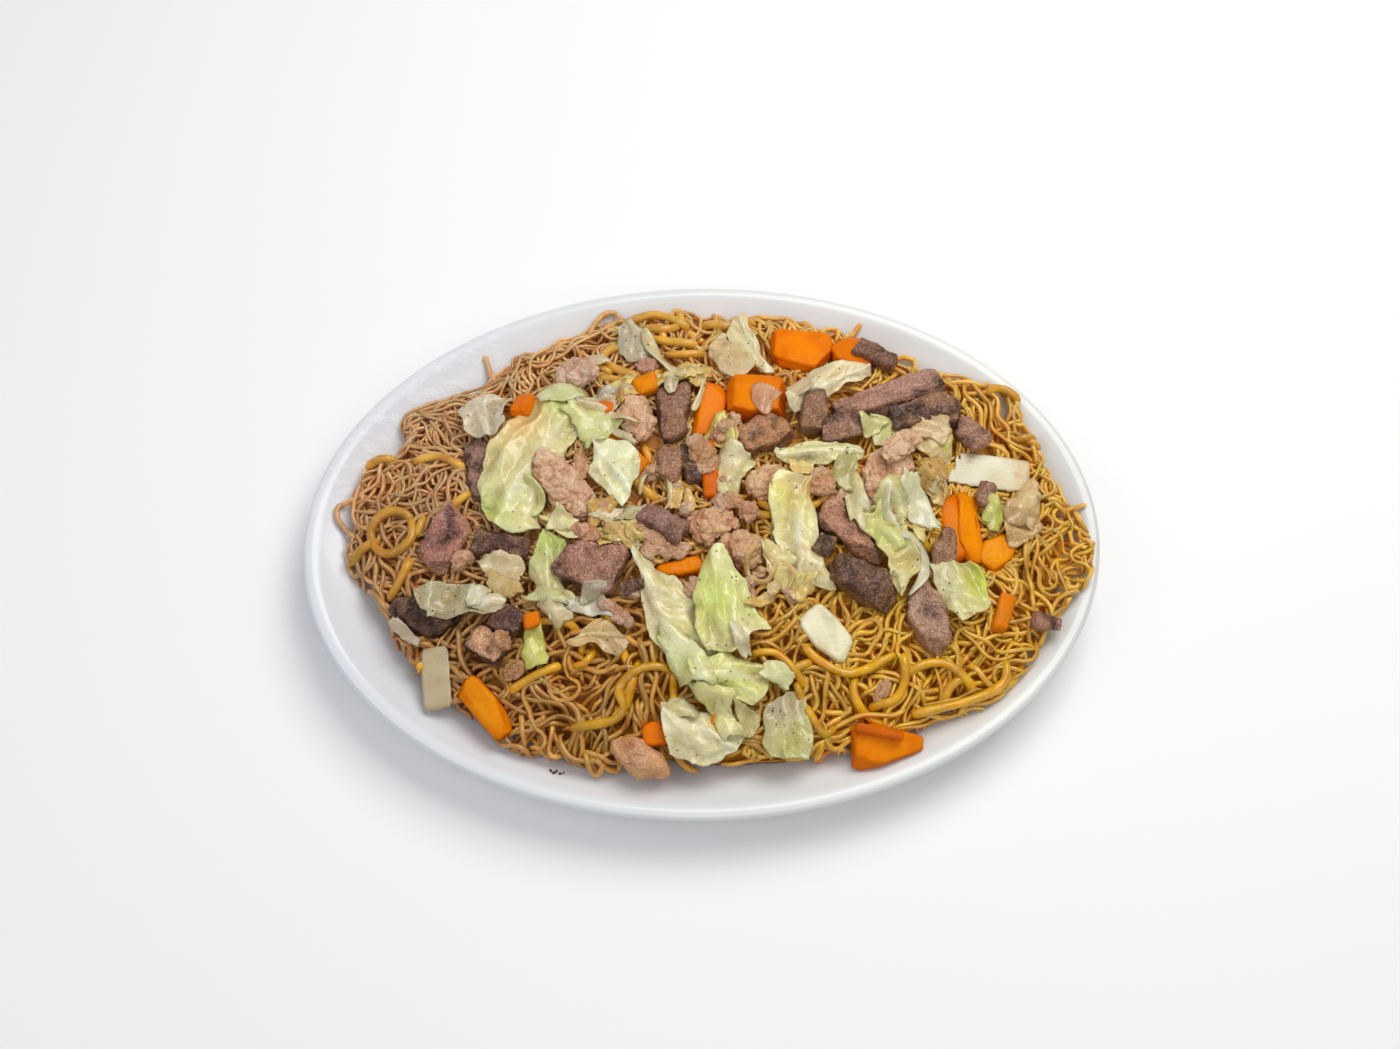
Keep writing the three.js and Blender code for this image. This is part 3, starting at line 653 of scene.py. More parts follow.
def falling(tree, otherwise):
    def read(x, y):
        hit = tree.ray_cast(Vector((x, y, HIGH)), Vector((0, 0, -1)))[0]
        return hit.z if hit else otherwise
    return read


def rising(tree, ground):
    def read(x, y):
        start = Vector((x, y, float(ground.at(x, y)) - 2 * MM))
        hit = tree.ray_cast(start, Vector((0, 0, 1)))[0]
        return hit.z if hit else OPEN_SKY
    return read


platter_top = Survey.of(falling(tree_of(["platter"]), 0.0))
heap_top = Survey.of(falling(tree_of(["platter", "noodles"]), 0.0))
cover_top = Survey.of(falling(tree_of(NODES), 0.0))
near_underside = Survey.of(rising(tree_of(TOPPINGS), heap_top)).spread(np.min, 1)
heap_depth = Survey(heap_top.grid - platter_top.grid)
depths = np.where(near_underside.grid < OPEN_SKY, COVERED_DEPTH, STRAND_DEPTH)
bed = Survey(np.maximum(platter_top.grid, heap_top.grid - depths * MM))


def edge_survey(reach):
    """Millimetres inside the heap's edge, or outside it when below nought."""
    inside = Survey((heap_depth.grid > HEAP_FOOT * MM).astype(float))
    steps = [inside.spread(pick, i).grid for pick in (np.min, np.max) for i in range(1, reach + 1)]
    return Survey(inside.grid + sum(steps) - reach - 0.5).spread(np.mean, 1)


def edge_reach(x, y):
    """How far past the heap's edge the noodles lie in the direction of a plan place."""
    direction = math.degrees(math.atan2((y - HEAP_CENTRE.y) / HEAP_HALF.y, (x - HEAP_CENTRE.x) / HEAP_HALF.x))
    reach = EDGE_REACH
    for middle, height, spread in EDGE_SPILLS:
        away = (direction - middle + 180) % 360 - 180
        reach += height * math.exp(-((away / spread) ** 2))
    return reach


def near_heap(x, y):
    """Whether a plan place in millimetres is on the heap or just off its edge: on the right, up to the lip."""
    reach = HALF_WIDTH - LIP_WIDTH - 2 + 7 * smooth_step(120, 160, x)
    inside = (x / (reach + STRETCH)) ** 2 + (y / reach) ** 2 < 1
    return inside and float(from_edge.at(x * MM, y * MM)) > -edge_reach(x, y)


from_edge = edge_survey(9)


def is_open(x, y):
    """Whether nothing lies over a plan place in metres."""
    return float(near_underside.at(x, y)) >= OPEN_SKY


# ---- noodles --------------------------------------------------------------

def make_heart():
    """Smaller core of the heap, wrinkled like packed strands, which the strands lie on."""
    bm = worked(merged("noodles"), ("REMESH", {"mode": "VOXEL", "voxel_size": HEART_VOXEL * MM}),
                ("SMOOTH", {"factor": 0.5, "iterations": 6}))
    centre = (heap_low + heap_high) / 2
    half = (heap_high - heap_low) / 2
    for vert in bm.verts:
        x, y = vert.co.x, vert.co.y
        vert.co.x = centre.x + (x - centre.x) * (1 - HEART_INSET * MM / half.x)
        vert.co.y = centre.y + (y - centre.y) * (1 - HEART_INSET * MM / half.y)
        if vert.normal.z > 0.1:
            inset = STRAND_DEPTH - 0.8 if is_open(x, y) else COVERED_DEPTH - 0.6
            relief = 0.9 * cloud(Vector((x, y * 1.6, 0)), 3.2) + 0.5 * cloud(Vector((x, y, 0)), 7.0, 2.0)
            vert.co.z += (relief - inset) * MM
        vert.co.z = max(vert.co.z, float(platter_top.at(vert.co.x, vert.co.y)) + 0.1 * MM)
    mesh = to_mesh("noodle_heart", bm)
    places = np.array([vert.co[:2] for vert in mesh.vertices])
    # The core takes the fine noodles' corner colours, with their painted shade at the near left.
    colour_in(mesh, corner_dyes(places, RICE_DYES))
    shown("noodle_heart", mesh, HEART, "noodle", "noodles")


def through(points, step):
    """Evenly spaced places on a smooth line through plan points in millimetres."""
    ends = [points[0], *points, points[-1]]
    line = []
    for before, start, end, after in zip(ends, ends[1:], ends[2:], ends[3:]):
        count = max(2, int(math.dist(start, end) / step))
        for i in range(count):
            t = i / count
            line.append(tuple(
                0.5 * (2 * b + (c - a) * t + (2 * a - 5 * b + 4 * c - d) * t ** 2
                       + (3 * b - a - 3 * c + d) * t ** 3)
                for a, b, c, d in zip(before, start, end, after)
            ))
    return line + [tuple(points[-1])]


def walk(rng, x, y, heading, length, bend):
    """Plan of one loose strand: a walk whose turning drifts; most strands keep to the heap."""
    turning = rng.gauss(0, bend)
    steered = rng.random() < STEERED_SHARE
    line = [(x, y)]
    for _ in range(int(length / STRAND_STEP)):
        turning = 0.9 * turning + rng.gauss(0, bend * 0.42)
        heading += turning
        if steered and not near_heap(x + 4 * math.cos(heading), y + 4 * math.sin(heading)):
            inward = math.atan2(STEER_TO[1] - y, 0.5 * (STEER_TO[0] - x))
            heading += 0.5 * math.sin(inward - heading)
        x += STRAND_STEP * math.cos(heading)
        y += STRAND_STEP * math.sin(heading)
        line.append((x, y))
    return np.array(line)


def kept(plan):
    """The first stretch of a plan line that stays on the heap or close to it."""
    near = [near_heap(x, y) for x, y in plan]
    if True not in near:
        return plan[:0]
    start = near.index(True)
    length = (near[start:] + [False]).index(False)
    spaced = [plan[start]]
    for place in plan[start + 1:start + length]:
        if math.dist(place, spaced[-1]) > 0.5 * STRAND_STEP:
            spaced.append(place)
    return np.array(spaced)


def lay(plan, radius, arch=0.0, choosy=True):
    """Lays a strand on the bed, raising it; gives its middle line in metres, or None where the bed is full."""
    x, y = np.asarray(plan).T * MM
    rest = bed.rest(x, y, radius)
    full = np.maximum(heap_top.at(x, y), platter_top.at(x, y) + 5 * MM) + (STRAND_COVER + radius) * MM
    if choosy and np.mean(rest - full) > 0:
        return None
    height = rest + arch * MM * np.sin(np.linspace(0, math.pi, len(x)))
    for _ in range(3):
        padded = np.concatenate([height[:1], height, height[-1:]])
        height = np.maximum((padded[:-2] + 2 * padded[1:-1] + padded[2:]) / 4, rest - 0.45 * MM)
    height = np.where(height > full, full + 0.4 * (height - full), height)
    from_end = np.minimum(np.arange(len(x)), np.arange(len(x))[::-1])
    height -= END_DIP * MM * np.exp(-from_end / 1.6)
    roof = near_underside.at(x, y) - (radius + 0.25) * MM
    height = np.maximum(np.minimum(height, roof), platter_top.at(x, y) + (radius + 0.15) * MM)
    bed.press(x, y, height, radius)
    return np.stack([x, y, height], 1)


def tube_mesh(name, strands, radius, sides):
    """One joined mesh of round strands; each strand is its points, thicknesses and colours."""
    line = bpy.data.curves.new(name, "CURVE")
    line.dimensions = "3D"
    line.bevel_depth = radius * MM
    line.bevel_resolution = (sides - 4) // 2
    colours = []
    for points, widths, colour in strands:
        points, widths, colour = rounded_tips(points, widths, colour)
        spline = line.splines.new("POLY")
        spline.points.add(len(points) - 1)
        spline.points.foreach_set("co", np.hstack([points, np.ones((len(points), 1))]).ravel())
        spline.points.foreach_set("radius", widths)
        colours.append(np.repeat(colour, sides, axis=0))
    thing = bpy.data.objects.new(name, line)
    scene.collection.objects.link(thing)
    depsgraph = bpy.context.evaluated_depsgraph_get()
    mesh = bpy.data.meshes.new_from_object(thing.evaluated_get(depsgraph))
    bpy.data.objects.remove(thing)
    colour_in(mesh, np.concatenate(colours))
    bm = bmesh.new()
    bm.from_mesh(mesh)
    bmesh.ops.remove_doubles(bm, verts=bm.verts, dist=0.002 * MM)
    bm.to_mesh(mesh)
    bm.free()
    return mesh


def rounded_tips(points, widths, colour):
    """Closes a strand's ends with a blunt tip."""
    ends = []
    for tip, inner in ((0, 1), (-1, -2)):
        back = points[inner] - points[tip]
        ends.append(points[tip] + back / np.linalg.norm(back) * 0.4 * MM)
    points = np.vstack([points[:1], ends[:1], points[1:-1], ends[1:], points[-1:]])
    widths = np.concatenate([[0.0], widths[:1] * 0.85, widths[1:-1], widths[-1:] * 0.85, [0.0]])
    colour = np.vstack([colour[:1], colour, colour[-1:]])
    return points, widths, colour


def across_heap(x, y, corners):
    """A value at plan places in metres that drifts between those of the heap's four corners."""
    far_left, far_right, near_left, near_right = corners
    right = np.clip((x / MM + 98) / 185, 0, 1)
    near = np.clip((50 - y / MM) / 110, 0, 1)
    far = far_left * (1 - right) + far_right * right
    return far * (1 - near) + (near_left * (1 - right) + near_right * right) * near


def corner_dyes(points, corners):
    """Colours at plan places, drifting between everyday colours of the heap's four corners."""
    return across_heap(points[:, 0:1], points[:, 1:2], [np.array(dye(*corner)) for corner in corners])


def strand_dye(points, corners, shade):
    """Colour along a strand: it drifts between the heap's four corners; the deeper it lies the more amber it
    turns, partly from sauce and partly as painted light, and painted light makes it brighter there, except at
    the near left.
    """
    base = corner_dyes(points, corners)
    buried = (heap_top.at(points[:, 0], points[:, 1]) - points[:, 2])[:, None] / MM
    streak = 1 + 0.12 * np.sin(np.arange(len(points)) * 0.7 + 40 * shade)[:, None]
    # Painted light: deeper strands are brighter, and strands above the heap's top are darker.
    light = np.clip(1 + across_heap(points[:, 0:1], points[:, 1:2], DEPTH_PAINTED_LIGHT) * buried, 0.75, 1.6)
    colour = base * (light * shade * streak)
    colour /= np.maximum(1, colour[:, :3].max(axis=1) / 0.93)[:, None]
    # Deeper strands lose green and blue and turn more amber, partly from sauce and partly as painted light.
    colour[:, 1:2] *= np.clip(1.02 - 0.05 * buried, 0.7, 1)
    colour[:, 2:3] *= np.clip(1 - 0.07 * buried, 0.5, 1)
    colour[:, 3] = 1
    return colour


def swelling(rng, count):
    """Thickness along a strand, thinner at its ends."""
    widths = 1 + 0.08 * np.sin(np.arange(count) * 0.5 + rng.uniform(0, 6))
    widths *= rng.uniform(0.85, 1.08)
    widths[0] *= 0.65
    widths[-1] *= 0.65
    return widths


def beside(guide, sway):
    """A plan line that keeps a changing distance to the left of another."""
    run = np.gradient(guide, axis=0)
    left = np.stack([-run[:, 1], run[:, 0]], 1)
    left /= np.linalg.norm(left, axis=1)[:, None] + 1e-9
    return guide + left * sway[:, None]


def lowest_place(rng, tries, covered):
    """A plan place, in millimetres, where the bed is still low: in the open, or under a topping."""
    best = None
    while tries:
        angle = rng.uniform(0, math.tau)
        reach = math.sqrt(rng.uniform(0, 1.1))
        x = HEAP_CENTRE.x + HEAP_HALF.x * reach * math.cos(angle)
        y = HEAP_CENTRE.y + HEAP_HALF.y * reach * math.sin(angle)
        if not near_heap(x, y) or is_open(x * MM, y * MM) == covered:
            continue
        tries -= 1
        level = max(float(heap_top.at(x * MM, y * MM)), float(platter_top.at(x * MM, y * MM)) + 6 * MM)
        missing = level - float(bed.at(x * MM, y * MM))
        if best is None or missing > best[0]:
            best = (missing, x, y, angle, reach)
    return best[1:]


def rice_lock(rng, length, bend, count, covered):
    """A few fine noodles that start together, run side by side and part."""
    x, y, angle, reach = lowest_place(rng, 6, covered)
    rim = math.atan2(math.cos(angle) * HEAP_HALF.y, -math.sin(angle) * HEAP_HALF.x)
    heading = rim + rng.gauss(0, 0.7) if reach > 0.85 else rng.uniform(0, math.tau)
    half = walk(rng, x, y, heading + math.pi, length / 2, bend)
    guide = np.vstack([half[::-1], walk(rng, x, y, heading, length / 2, bend)[1:]])
    along = np.arange(len(guide))
    girth = float(across_heap(x * MM, y * MM, RICE_GIRTHS)) * rng.uniform(0.85, 1.1)
    strands = []
    for i in range(count):
        drift = rng.uniform(-9, 9) * (along / len(guide) - 0.5)
        wave = rng.uniform(0.4, 2.0) * np.sin(along * rng.uniform(0.35, 0.9) + rng.uniform(0, 6))
        sway = 2.2 * girth * (i - count / 2) + drift + wave
        plan = kept(beside(guide, sway)[rng.randint(0, 5):len(guide) - rng.randint(0, 5)])
        arch = rng.choice((0, 0, 0, 0, 0.8, 1.6))
        points = lay(plan, girth * RICE_NOODLE / 2, arch) if len(plan) > 4 else None
        if points is not None:
            strands.append(points)
    return strands, girth


def make_rice_noodles(name, seed, count, sides, covered=False):
    """One joined layer of the tangle of fine noodles."""
    rng = random.Random(seed)
    strands = []
    for _ in range(count):
        lock, girth = rice_lock(
            rng, rng.uniform(30, 76), rng.choice((0.06, 0.12, 0.2, 0.3)), rng.randint(1, 4), covered)
        tone = rng.uniform(0.88, 1.12)
        for points in lock:
            colour = strand_dye(points, RICE_DYES, tone * rng.uniform(0.88, 1.2))
            strands.append((points, girth * swelling(rng, len(points)), colour))
    shown(name, tube_mesh(name, strands, RICE_NOODLE / 2, sides), RICE, "noodle")


def make_egg_noodles(name, seed, count, guides):
    """Thick yellow noodles: the ones that lie in plain sight and others here and there, fewer on the left."""
    rng = random.Random(seed)
    plans = [np.array(through(guide, STRAND_STEP)) for guide in guides]
    while len(plans) < len(guides) + count:
        x, y, angle, reach = lowest_place(rng, 3, False)
        if (x > -30 or y < -40) and x < 125:
            plans.append(walk(rng, x, y, rng.uniform(0, math.tau), rng.uniform(30, 64), 0.09))
    strands = []
    for plan in plans:
        plan = kept(plan)
        if len(plan) > 4:
            points = lay(plan, EGG_NOODLE / 2, choosy=False)
            colour = strand_dye(points, EGG_DYES, rng.uniform(0.85, 1.1))
            strands.append((points, swelling(rng, len(points)), colour))
    shown(name, tube_mesh(name, strands, EGG_NOODLE / 2, 8), EGG, "noodle")


def make_loose_ends():
    """Fine noodles that stray from the heap's edge."""
    rng = random.Random(5)
    strands = []
    for guide in STRAY_GUIDES:
        points = lay(through(guide, 1.4), RICE_NOODLE / 2, 0.6, False)
        strands.append((points, swelling(rng, len(points)), strand_dye(points, RICE_DYES, 1.15)))
    shown("stray_noodles", tube_mesh("stray_noodles", strands, RICE_NOODLE / 2, 8), RICE, "noodle")


# ---- toppings -------------------------------------------------------------

def filled_out(bm):
    """Fills the hollows in a piece's sides."""
    hull = bmesh.ops.convex_hull(bm, input=bm.verts)
    outside = set(hull["geom"])
    bmesh.ops.delete(bm, geom=hull["geom_interior"] + hull["geom_unused"], context="VERTS")
    bmesh.ops.delete(bm, geom=[face for face in bm.faces if face not in outside], context="FACES")


def knife_cuts(bm, seed, count, steepest=0.2, flattest=1.1):
    """Slices slanted facets off a piece."""
    rng = random.Random(seed)
    for _ in range(count):
        turn, tilt = rng.uniform(0, math.tau), rng.uniform(steepest, flattest)
        away = Vector((math.cos(turn) * math.cos(tilt), math.sin(turn) * math.cos(tilt), math.sin(tilt)))
        reaches = [vert.co.dot(away) for vert in bm.verts]
        depth = rng.uniform(0.06, 0.14) * (max(reaches) - min(reaches))
        cut = bmesh.ops.bisect_plane(bm, geom=bm.verts[:] + bm.edges[:] + bm.faces[:],
                                     plane_co=away * (max(reaches) - depth), plane_no=away, clear_outer=True)
        rim = [part for part in cut["geom_cut"] if isinstance(part, bmesh.types.BMEdge)]
        bmesh.ops.holes_fill(bm, edges=rim)


def softened(bm, passes):
    """Fine even mesh of a closed shape with its corners rounded."""
    return worked(bm, ("REMESH", {"mode": "VOXEL", "voxel_size": VOXEL * MM}),
                  ("SMOOTH", {"factor": 0.5, "iterations": passes}))


def sculpt(name, bm, seed, surface, paint, finish, slot, nodes=()):
    """Moves each vertex along its normal by surface(point, seed) and colours it by paint(point, normal)."""
    bm.normal_update()
    moves = [surface(vert.co, seed) for vert in bm.verts]
    low = min(moves)
    span = max(1e-6, max(moves) - low)
    # Share of painted shade in the hollows: most where the surface moved least.
    hollows = [1 - smooth_step(0.0, 0.55, (move - low) / span) for move in moves]
    colours = [paint(vert.co, vert.normal) for vert in bm.verts]
    for vert, move in zip(bm.verts, moves):
        vert.co += vert.normal * move * MM
        vert.co.z = under_top(vert.co.z)
    mesh = to_mesh(name, bm)
    layer = mesh.attributes.new("hollow_shade", "FLOAT", "POINT")
    layer.data.foreach_set("value", np.asarray(hollows, np.float32))
    colour_in(mesh, colours)
    return shown(name, mesh, finish, slot, *nodes)


def carrot_surface(point, seed):
    return 0.4 + 0.35 * cloud(point, 9, seed) + 0.2 * cloud(point, 2.4, seed)


def liver_surface(point, seed):
    """Ragged cut face with pits."""
    distances = noise.voronoi(point / (2.1 * MM) + Vector((seed, 0, seed)))[0]
    pits = -0.55 * max(0.0, 0.45 - distances[0])
    ragged = 1.7 * cloud(point, 9, seed) + 0.8 * cloud(point, 4, seed)
    return ragged + 0.35 * cloud(point, 1.3, seed) + pits


def chicken_surface(point, seed):
    """Lobes of torn meat with deep creases, and smaller knobs on them."""
    warp = Vector((cloud(point, 5, seed), cloud(point, 5, seed + 4), cloud(point, 5, seed + 9))) * 0.35
    large = noise.voronoi(point / (8 * MM) + warp + Vector((seed, seed, 0)))[0]
    small = noise.voronoi(point / (3.3 * MM) + warp + Vector((0, seed, seed)))[0]
    lumps = 2.9 * min(0.45, large[1] - large[0]) + 1.7 * min(0.45, small[1] - small[0])
    return lumps - 1.2 + 1.1 * cloud(point, 9, seed) + 0.3 * cloud(point, 1.6, seed)


def spotted(colour, other, size, seed):
    """Paint that drifts between two colours."""
    def paint(point, normal):
        return mixed(colour, other, 0.5 + 0.9 * cloud(point, size, seed))
    return paint


# Everyday colours: of a carrot, of a liver slice's face and sides, and of a piece of chicken.
CARROTS = {
    "carrot_01": (222, 112, 4), "carrot_02": (242, 150, 10), "carrot_03": (230, 142, 6),
    "carrot_04": (238, 132, 6), "carrot_05": (226, 100, 6), "carrot_06": (232, 126, 8),
    "carrot_07": (242, 124, 2), "carrot_08": (222, 108, 6), "carrot_09": (232, 118, 2),
    "carrot_10": (240, 146, 2), "carrot_11": (242, 158, 6), "carrot_12": (224, 122, 4),
}
LIVERS = {
    "liver_01": ((196, 158, 142), (144, 114, 106)), "liver_02": ((60, 27, 13), (43, 19, 8)),
    # liver_03's dark side colour is painted shade.
    "liver_03": ((250, 199, 155), (75, 43, 30)), "liver_04": ((172, 130, 90), (98, 69, 46)),
    "liver_05": ((206, 162, 143), (164, 127, 111)), "liver_06": ((161, 121, 84), (128, 96, 66)),
    "liver_07": ((207, 152, 101), (165, 121, 83)), "liver_08": ((182, 142, 118), (122, 93, 78)),
    "liver_09": ((166, 122, 99), (130, 97, 80)), "liver_10": ((200, 142, 126), (222, 174, 142)),
    "liver_11": ((199, 148, 128), (156, 115, 99)), "liver_12": ((58, 32, 17), (74, 43, 23)),
    "liver_13": ((168, 129, 82), (130, 101, 68)), "liver_14": ((212, 156, 120), (165, 123, 92)),
    "liver_15": ((92, 64, 30), (130, 95, 48)), "liver_16": ((210, 174, 146), (194, 147, 109)),
}
CHICKENS = {
    "chicken_01": (243, 202, 152), "chicken_02": (229, 185, 132), "chicken_03": (228, 168, 88),
    "chicken_04": (247, 208, 167), "chicken_05": (252, 218, 179), "chicken_06": (247, 204, 159),
    "chicken_07": (237, 196, 144),
}

# Carrots with straight sides only, and livers whose edges are left as they are.
PLAIN_CUTS = ("carrot_06", "carrot_07", "carrot_09", "carrot_12")
WHOLE_SLICES = ("liver_05", "liver_11")


def ringed(name, colour, seed):
    """Paint of a carrot piece: a paler core and a deeper rim on its cut face, and painted shade on its sides,
    which take the deeper rim colour.
    """
    low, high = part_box(name)
    middle, half = (low + high) / 2, (high - low) / 2
    core, rim = mixed(dye(*colour), dye(252, 156, 8), 0.3), mixed(dye(*colour), dye(204, 80, 0), 0.7)

    def paint(point, normal):
        away = math.hypot((point.x - middle.x) / half.x, (point.y - middle.y) / half.y)
        drift = 0.4 * smooth_step(0.3, 1.0, away) + 0.5 * cloud(point, 7, seed)
        # Painted shade: steep sides take the rim colour.
        return mixed(core, rim, max(smooth_step(0.9, 0.3, normal.z), drift))
    return paint


def faced(face, side, seed):
    """Paint of a liver slice: one colour on its face, another down its sides, which for liver_03 is painted
    shade.
    """
    face, side = dye(*face), dye(*side)

    def paint(point, normal):
        return mixed(side, face, smooth_step(0.35, 0.85, normal.z + 0.25 * cloud(point, 5, seed)))
    return paint


def make_carrots():
    for seed, (name, colour) in enumerate(CARROTS.items()):
        paint = ringed(name, colour, seed)
        bm = merged(name)
        if name in PLAIN_CUTS:
            filled_out(bm)
        knife_cuts(bm, seed + 3, 5)
        sculpt(name + "_cut", softened(bm, 2), seed, carrot_surface, paint, CARROT, "carrot", (name,))


def make_livers():
    for seed, (name, (face, side)) in enumerate(LIVERS.items()):
        bm = merged(name)
        if name not in WHOLE_SLICES:
            knife_cuts(bm, seed + 40, 4, 0.0, 0.8)
        paint = faced(face, side, seed)
        sculpt(name + "_slice", softened(bm, 1), seed, liver_surface, paint, LIVER, "liver", (name,))


def make_chickens():
    for seed, (name, colour) in enumerate(CHICKENS.items()):
        paint = spotted(dye(*colour), dye(224, 170, 130), 7, seed)
        surface = liver_surface if name == "chicken_03" else chicken_surface
        sculpt(name + "_torn", softened(merged(name), 3), seed, surface, paint, CHICKEN, "chicken", (name,))


# ---- further bits of topping ----------------------------------------------

# Each bit: plan place, length, width, thickness, turn in degrees, everyday colour.
CARROT_BITS = [
    (-80, 60, 14, 9, 4, 80, (234, 118, 6)), (-24, 68, 10, 8, 6, 20, (238, 140, 12)),
    (-41, 58, 7, 7, 4, 40, (232, 116, 8)), (4, 24, 26, 6, 4, 95, (226, 104, 6)),
    (6, -88, 8, 6, 2.5, -20, (240, 150, 40)), (130, -42, 17, 7, 5, 72, (238, 134, 14)),
    (-74, -44, 7, 6, 4, 10, (236, 128, 10)), (73, -94, 20, 4, 4, -10, (222, 104, 10)),
]
LIVER_BITS = [
    (82, 86, 20, 10, 7, -25, (128, 91, 71)), (122, 42, 15, 11, 6, -40, (180, 139, 114)),
    (127, 12, 11, 8, 5, 80, (162, 121, 96)), (-88, -8, 25, 10, 5, -12, (92, 66, 48)),
    (-17, -2, 22, 11, 7, -30, (171, 132, 119)), (149, -45, 13, 8, 6, -12, (182, 137, 109)),
    (-4, 28, 19, 7, 6, 100, (82, 54, 40)), (-14, 28, 17, 12, 7, 70, (196, 150, 112)),
    (94, 50, 18, 10, 5, 15, (84, 58, 40)),
    (-30, -31, 12, 7, 5, 10, (137, 114, 96)), (53, -12, 10, 8, 5, 60, (88, 66, 48)),
]
CHICKEN_BITS = [
    (-55, 77, 20, 16, 10, 20, (240, 206, 180)), (1, 31, 22, 13, 9, 110, (206, 156, 108)),
    (53, 17, 17, 12, 9, 85, (222, 170, 120)), (-20, -10, 18, 9, 7, -35, (224, 178, 140)),
    (-25, -14, 10, 7, 6, 60, (222, 174, 132)), (-105, -14, 12, 9, 7, 40, (218, 168, 128)),
    (-50, -5, 16, 10, 8, -35, (216, 164, 130)), (-38, -41, 20, 8, 6, -40, (214, 174, 146)),
    (-5, -31, 10, 8, 5, 70, (214, 172, 138)), (-82, -64, 12, 9, 6, 30, (198, 146, 92)),
    (75, -76, 13, 7, 4, 50, (214, 168, 118)), (-23, 80, 11, 9, 6, 0, (206, 158, 130)),
    (-53, 27, 24, 7, 5, 82, (220, 168, 120)), (-10, -14, 11, 9, 6, 20, (226, 182, 148)),
    (88, 31, 25, 13, 9, 40, (248, 206, 164)), (20, 2, 11, 9, 7, 20, (214, 164, 122)),
    (12, 8, 14, 8, 6, -20, (216, 168, 128)), (-86, -53, 10, 8, 7, -45, (204, 146, 98)),
]


def slope_at(survey, x, y, reach):
    """How much the survey rises per millimetre along x and along y, over a footprint."""
    rise_x = float(survey.at((x + reach) * MM, y * MM) - survey.at((x - reach) * MM, y * MM))
    rise_y = float(survey.at(x * MM, (y + reach) * MM) - survey.at(x * MM, (y - reach) * MM))
    return rise_x / (2 * reach * MM), rise_y / (2 * reach * MM)


def resting(x, y, length, thickness, turn, sunk):
    """Where a bit comes to rest on the dish: it leans with what is under it."""
    lean_x, lean_y = slope_at(cover, x, y, length * 0.3)
    up = Vector((-0.7 * lean_x, -0.7 * lean_y, 1)).normalized()
    lean = Vector((0, 0, 1)).rotation_difference(up).to_matrix().to_4x4()
    level = float(cover.at(x * MM, y * MM)) / MM + thickness / 2 - sunk
    return (Matrix.Translation(Vector((x, y, level)) * MM) @ lean
            @ Matrix.Rotation(math.radians(turn), 4, "Z"))


def cut_bit(bm, place, length, width, thickness):
    """A small cut piece: a block with its edges taken off."""
    size = Matrix.Diagonal((length * MM, width * MM, thickness * MM, 1))
    made = bmesh.ops.create_cube(bm, size=1, matrix=place @ size)
    for vert in made["verts"]:
        drift = Vector([cloud(vert.co, 4, 5.3 + 9.7 * axis) for axis in range(3)])
        vert.co += 0.36 * width * drift * MM
    edges = dict.fromkeys(edge for vert in made["verts"] for edge in vert.link_edges)
    bmesh.ops.bevel(bm, geom=list(edges), offset=0.16 * width * MM, segments=2, profile=0.5,
                    affect="EDGES", material=-1)


def torn_bit(bm, place, length, width, thickness):
    """A small torn piece: a lump."""
    size = Matrix.Diagonal((length / 2 * MM, width / 2 * MM, thickness / 2 * MM, 1))
    bmesh.ops.create_icosphere(bm, subdivisions=3, radius=1, matrix=place @ size)


def make_bits(name, bits, shape, surface, finish, slot, sunk, seed):
    """All further bits of one topping as one joined piece."""
    bm = bmesh.new()
    centres = KDTree(len(bits))
    for i, (x, y, length, width, thickness, turn, colour) in enumerate(bits):
        place = resting(x, y, length, thickness, turn, sunk)
        centres.insert(place.translation, i)
        shape(bm, place, length, width, thickness)
    centres.balance()
    bm = softened(bm, 3)

    def paint(point, normal):
        colour = dye(*bits[centres.find(point)[1]][6])
        return mixed(colour, mixed(colour, dye(90, 50, 20), 0.35), 0.4 + 0.8 * cloud(point, 6, seed))
    sculpt(name, bm, seed, surface, paint, finish, slot)


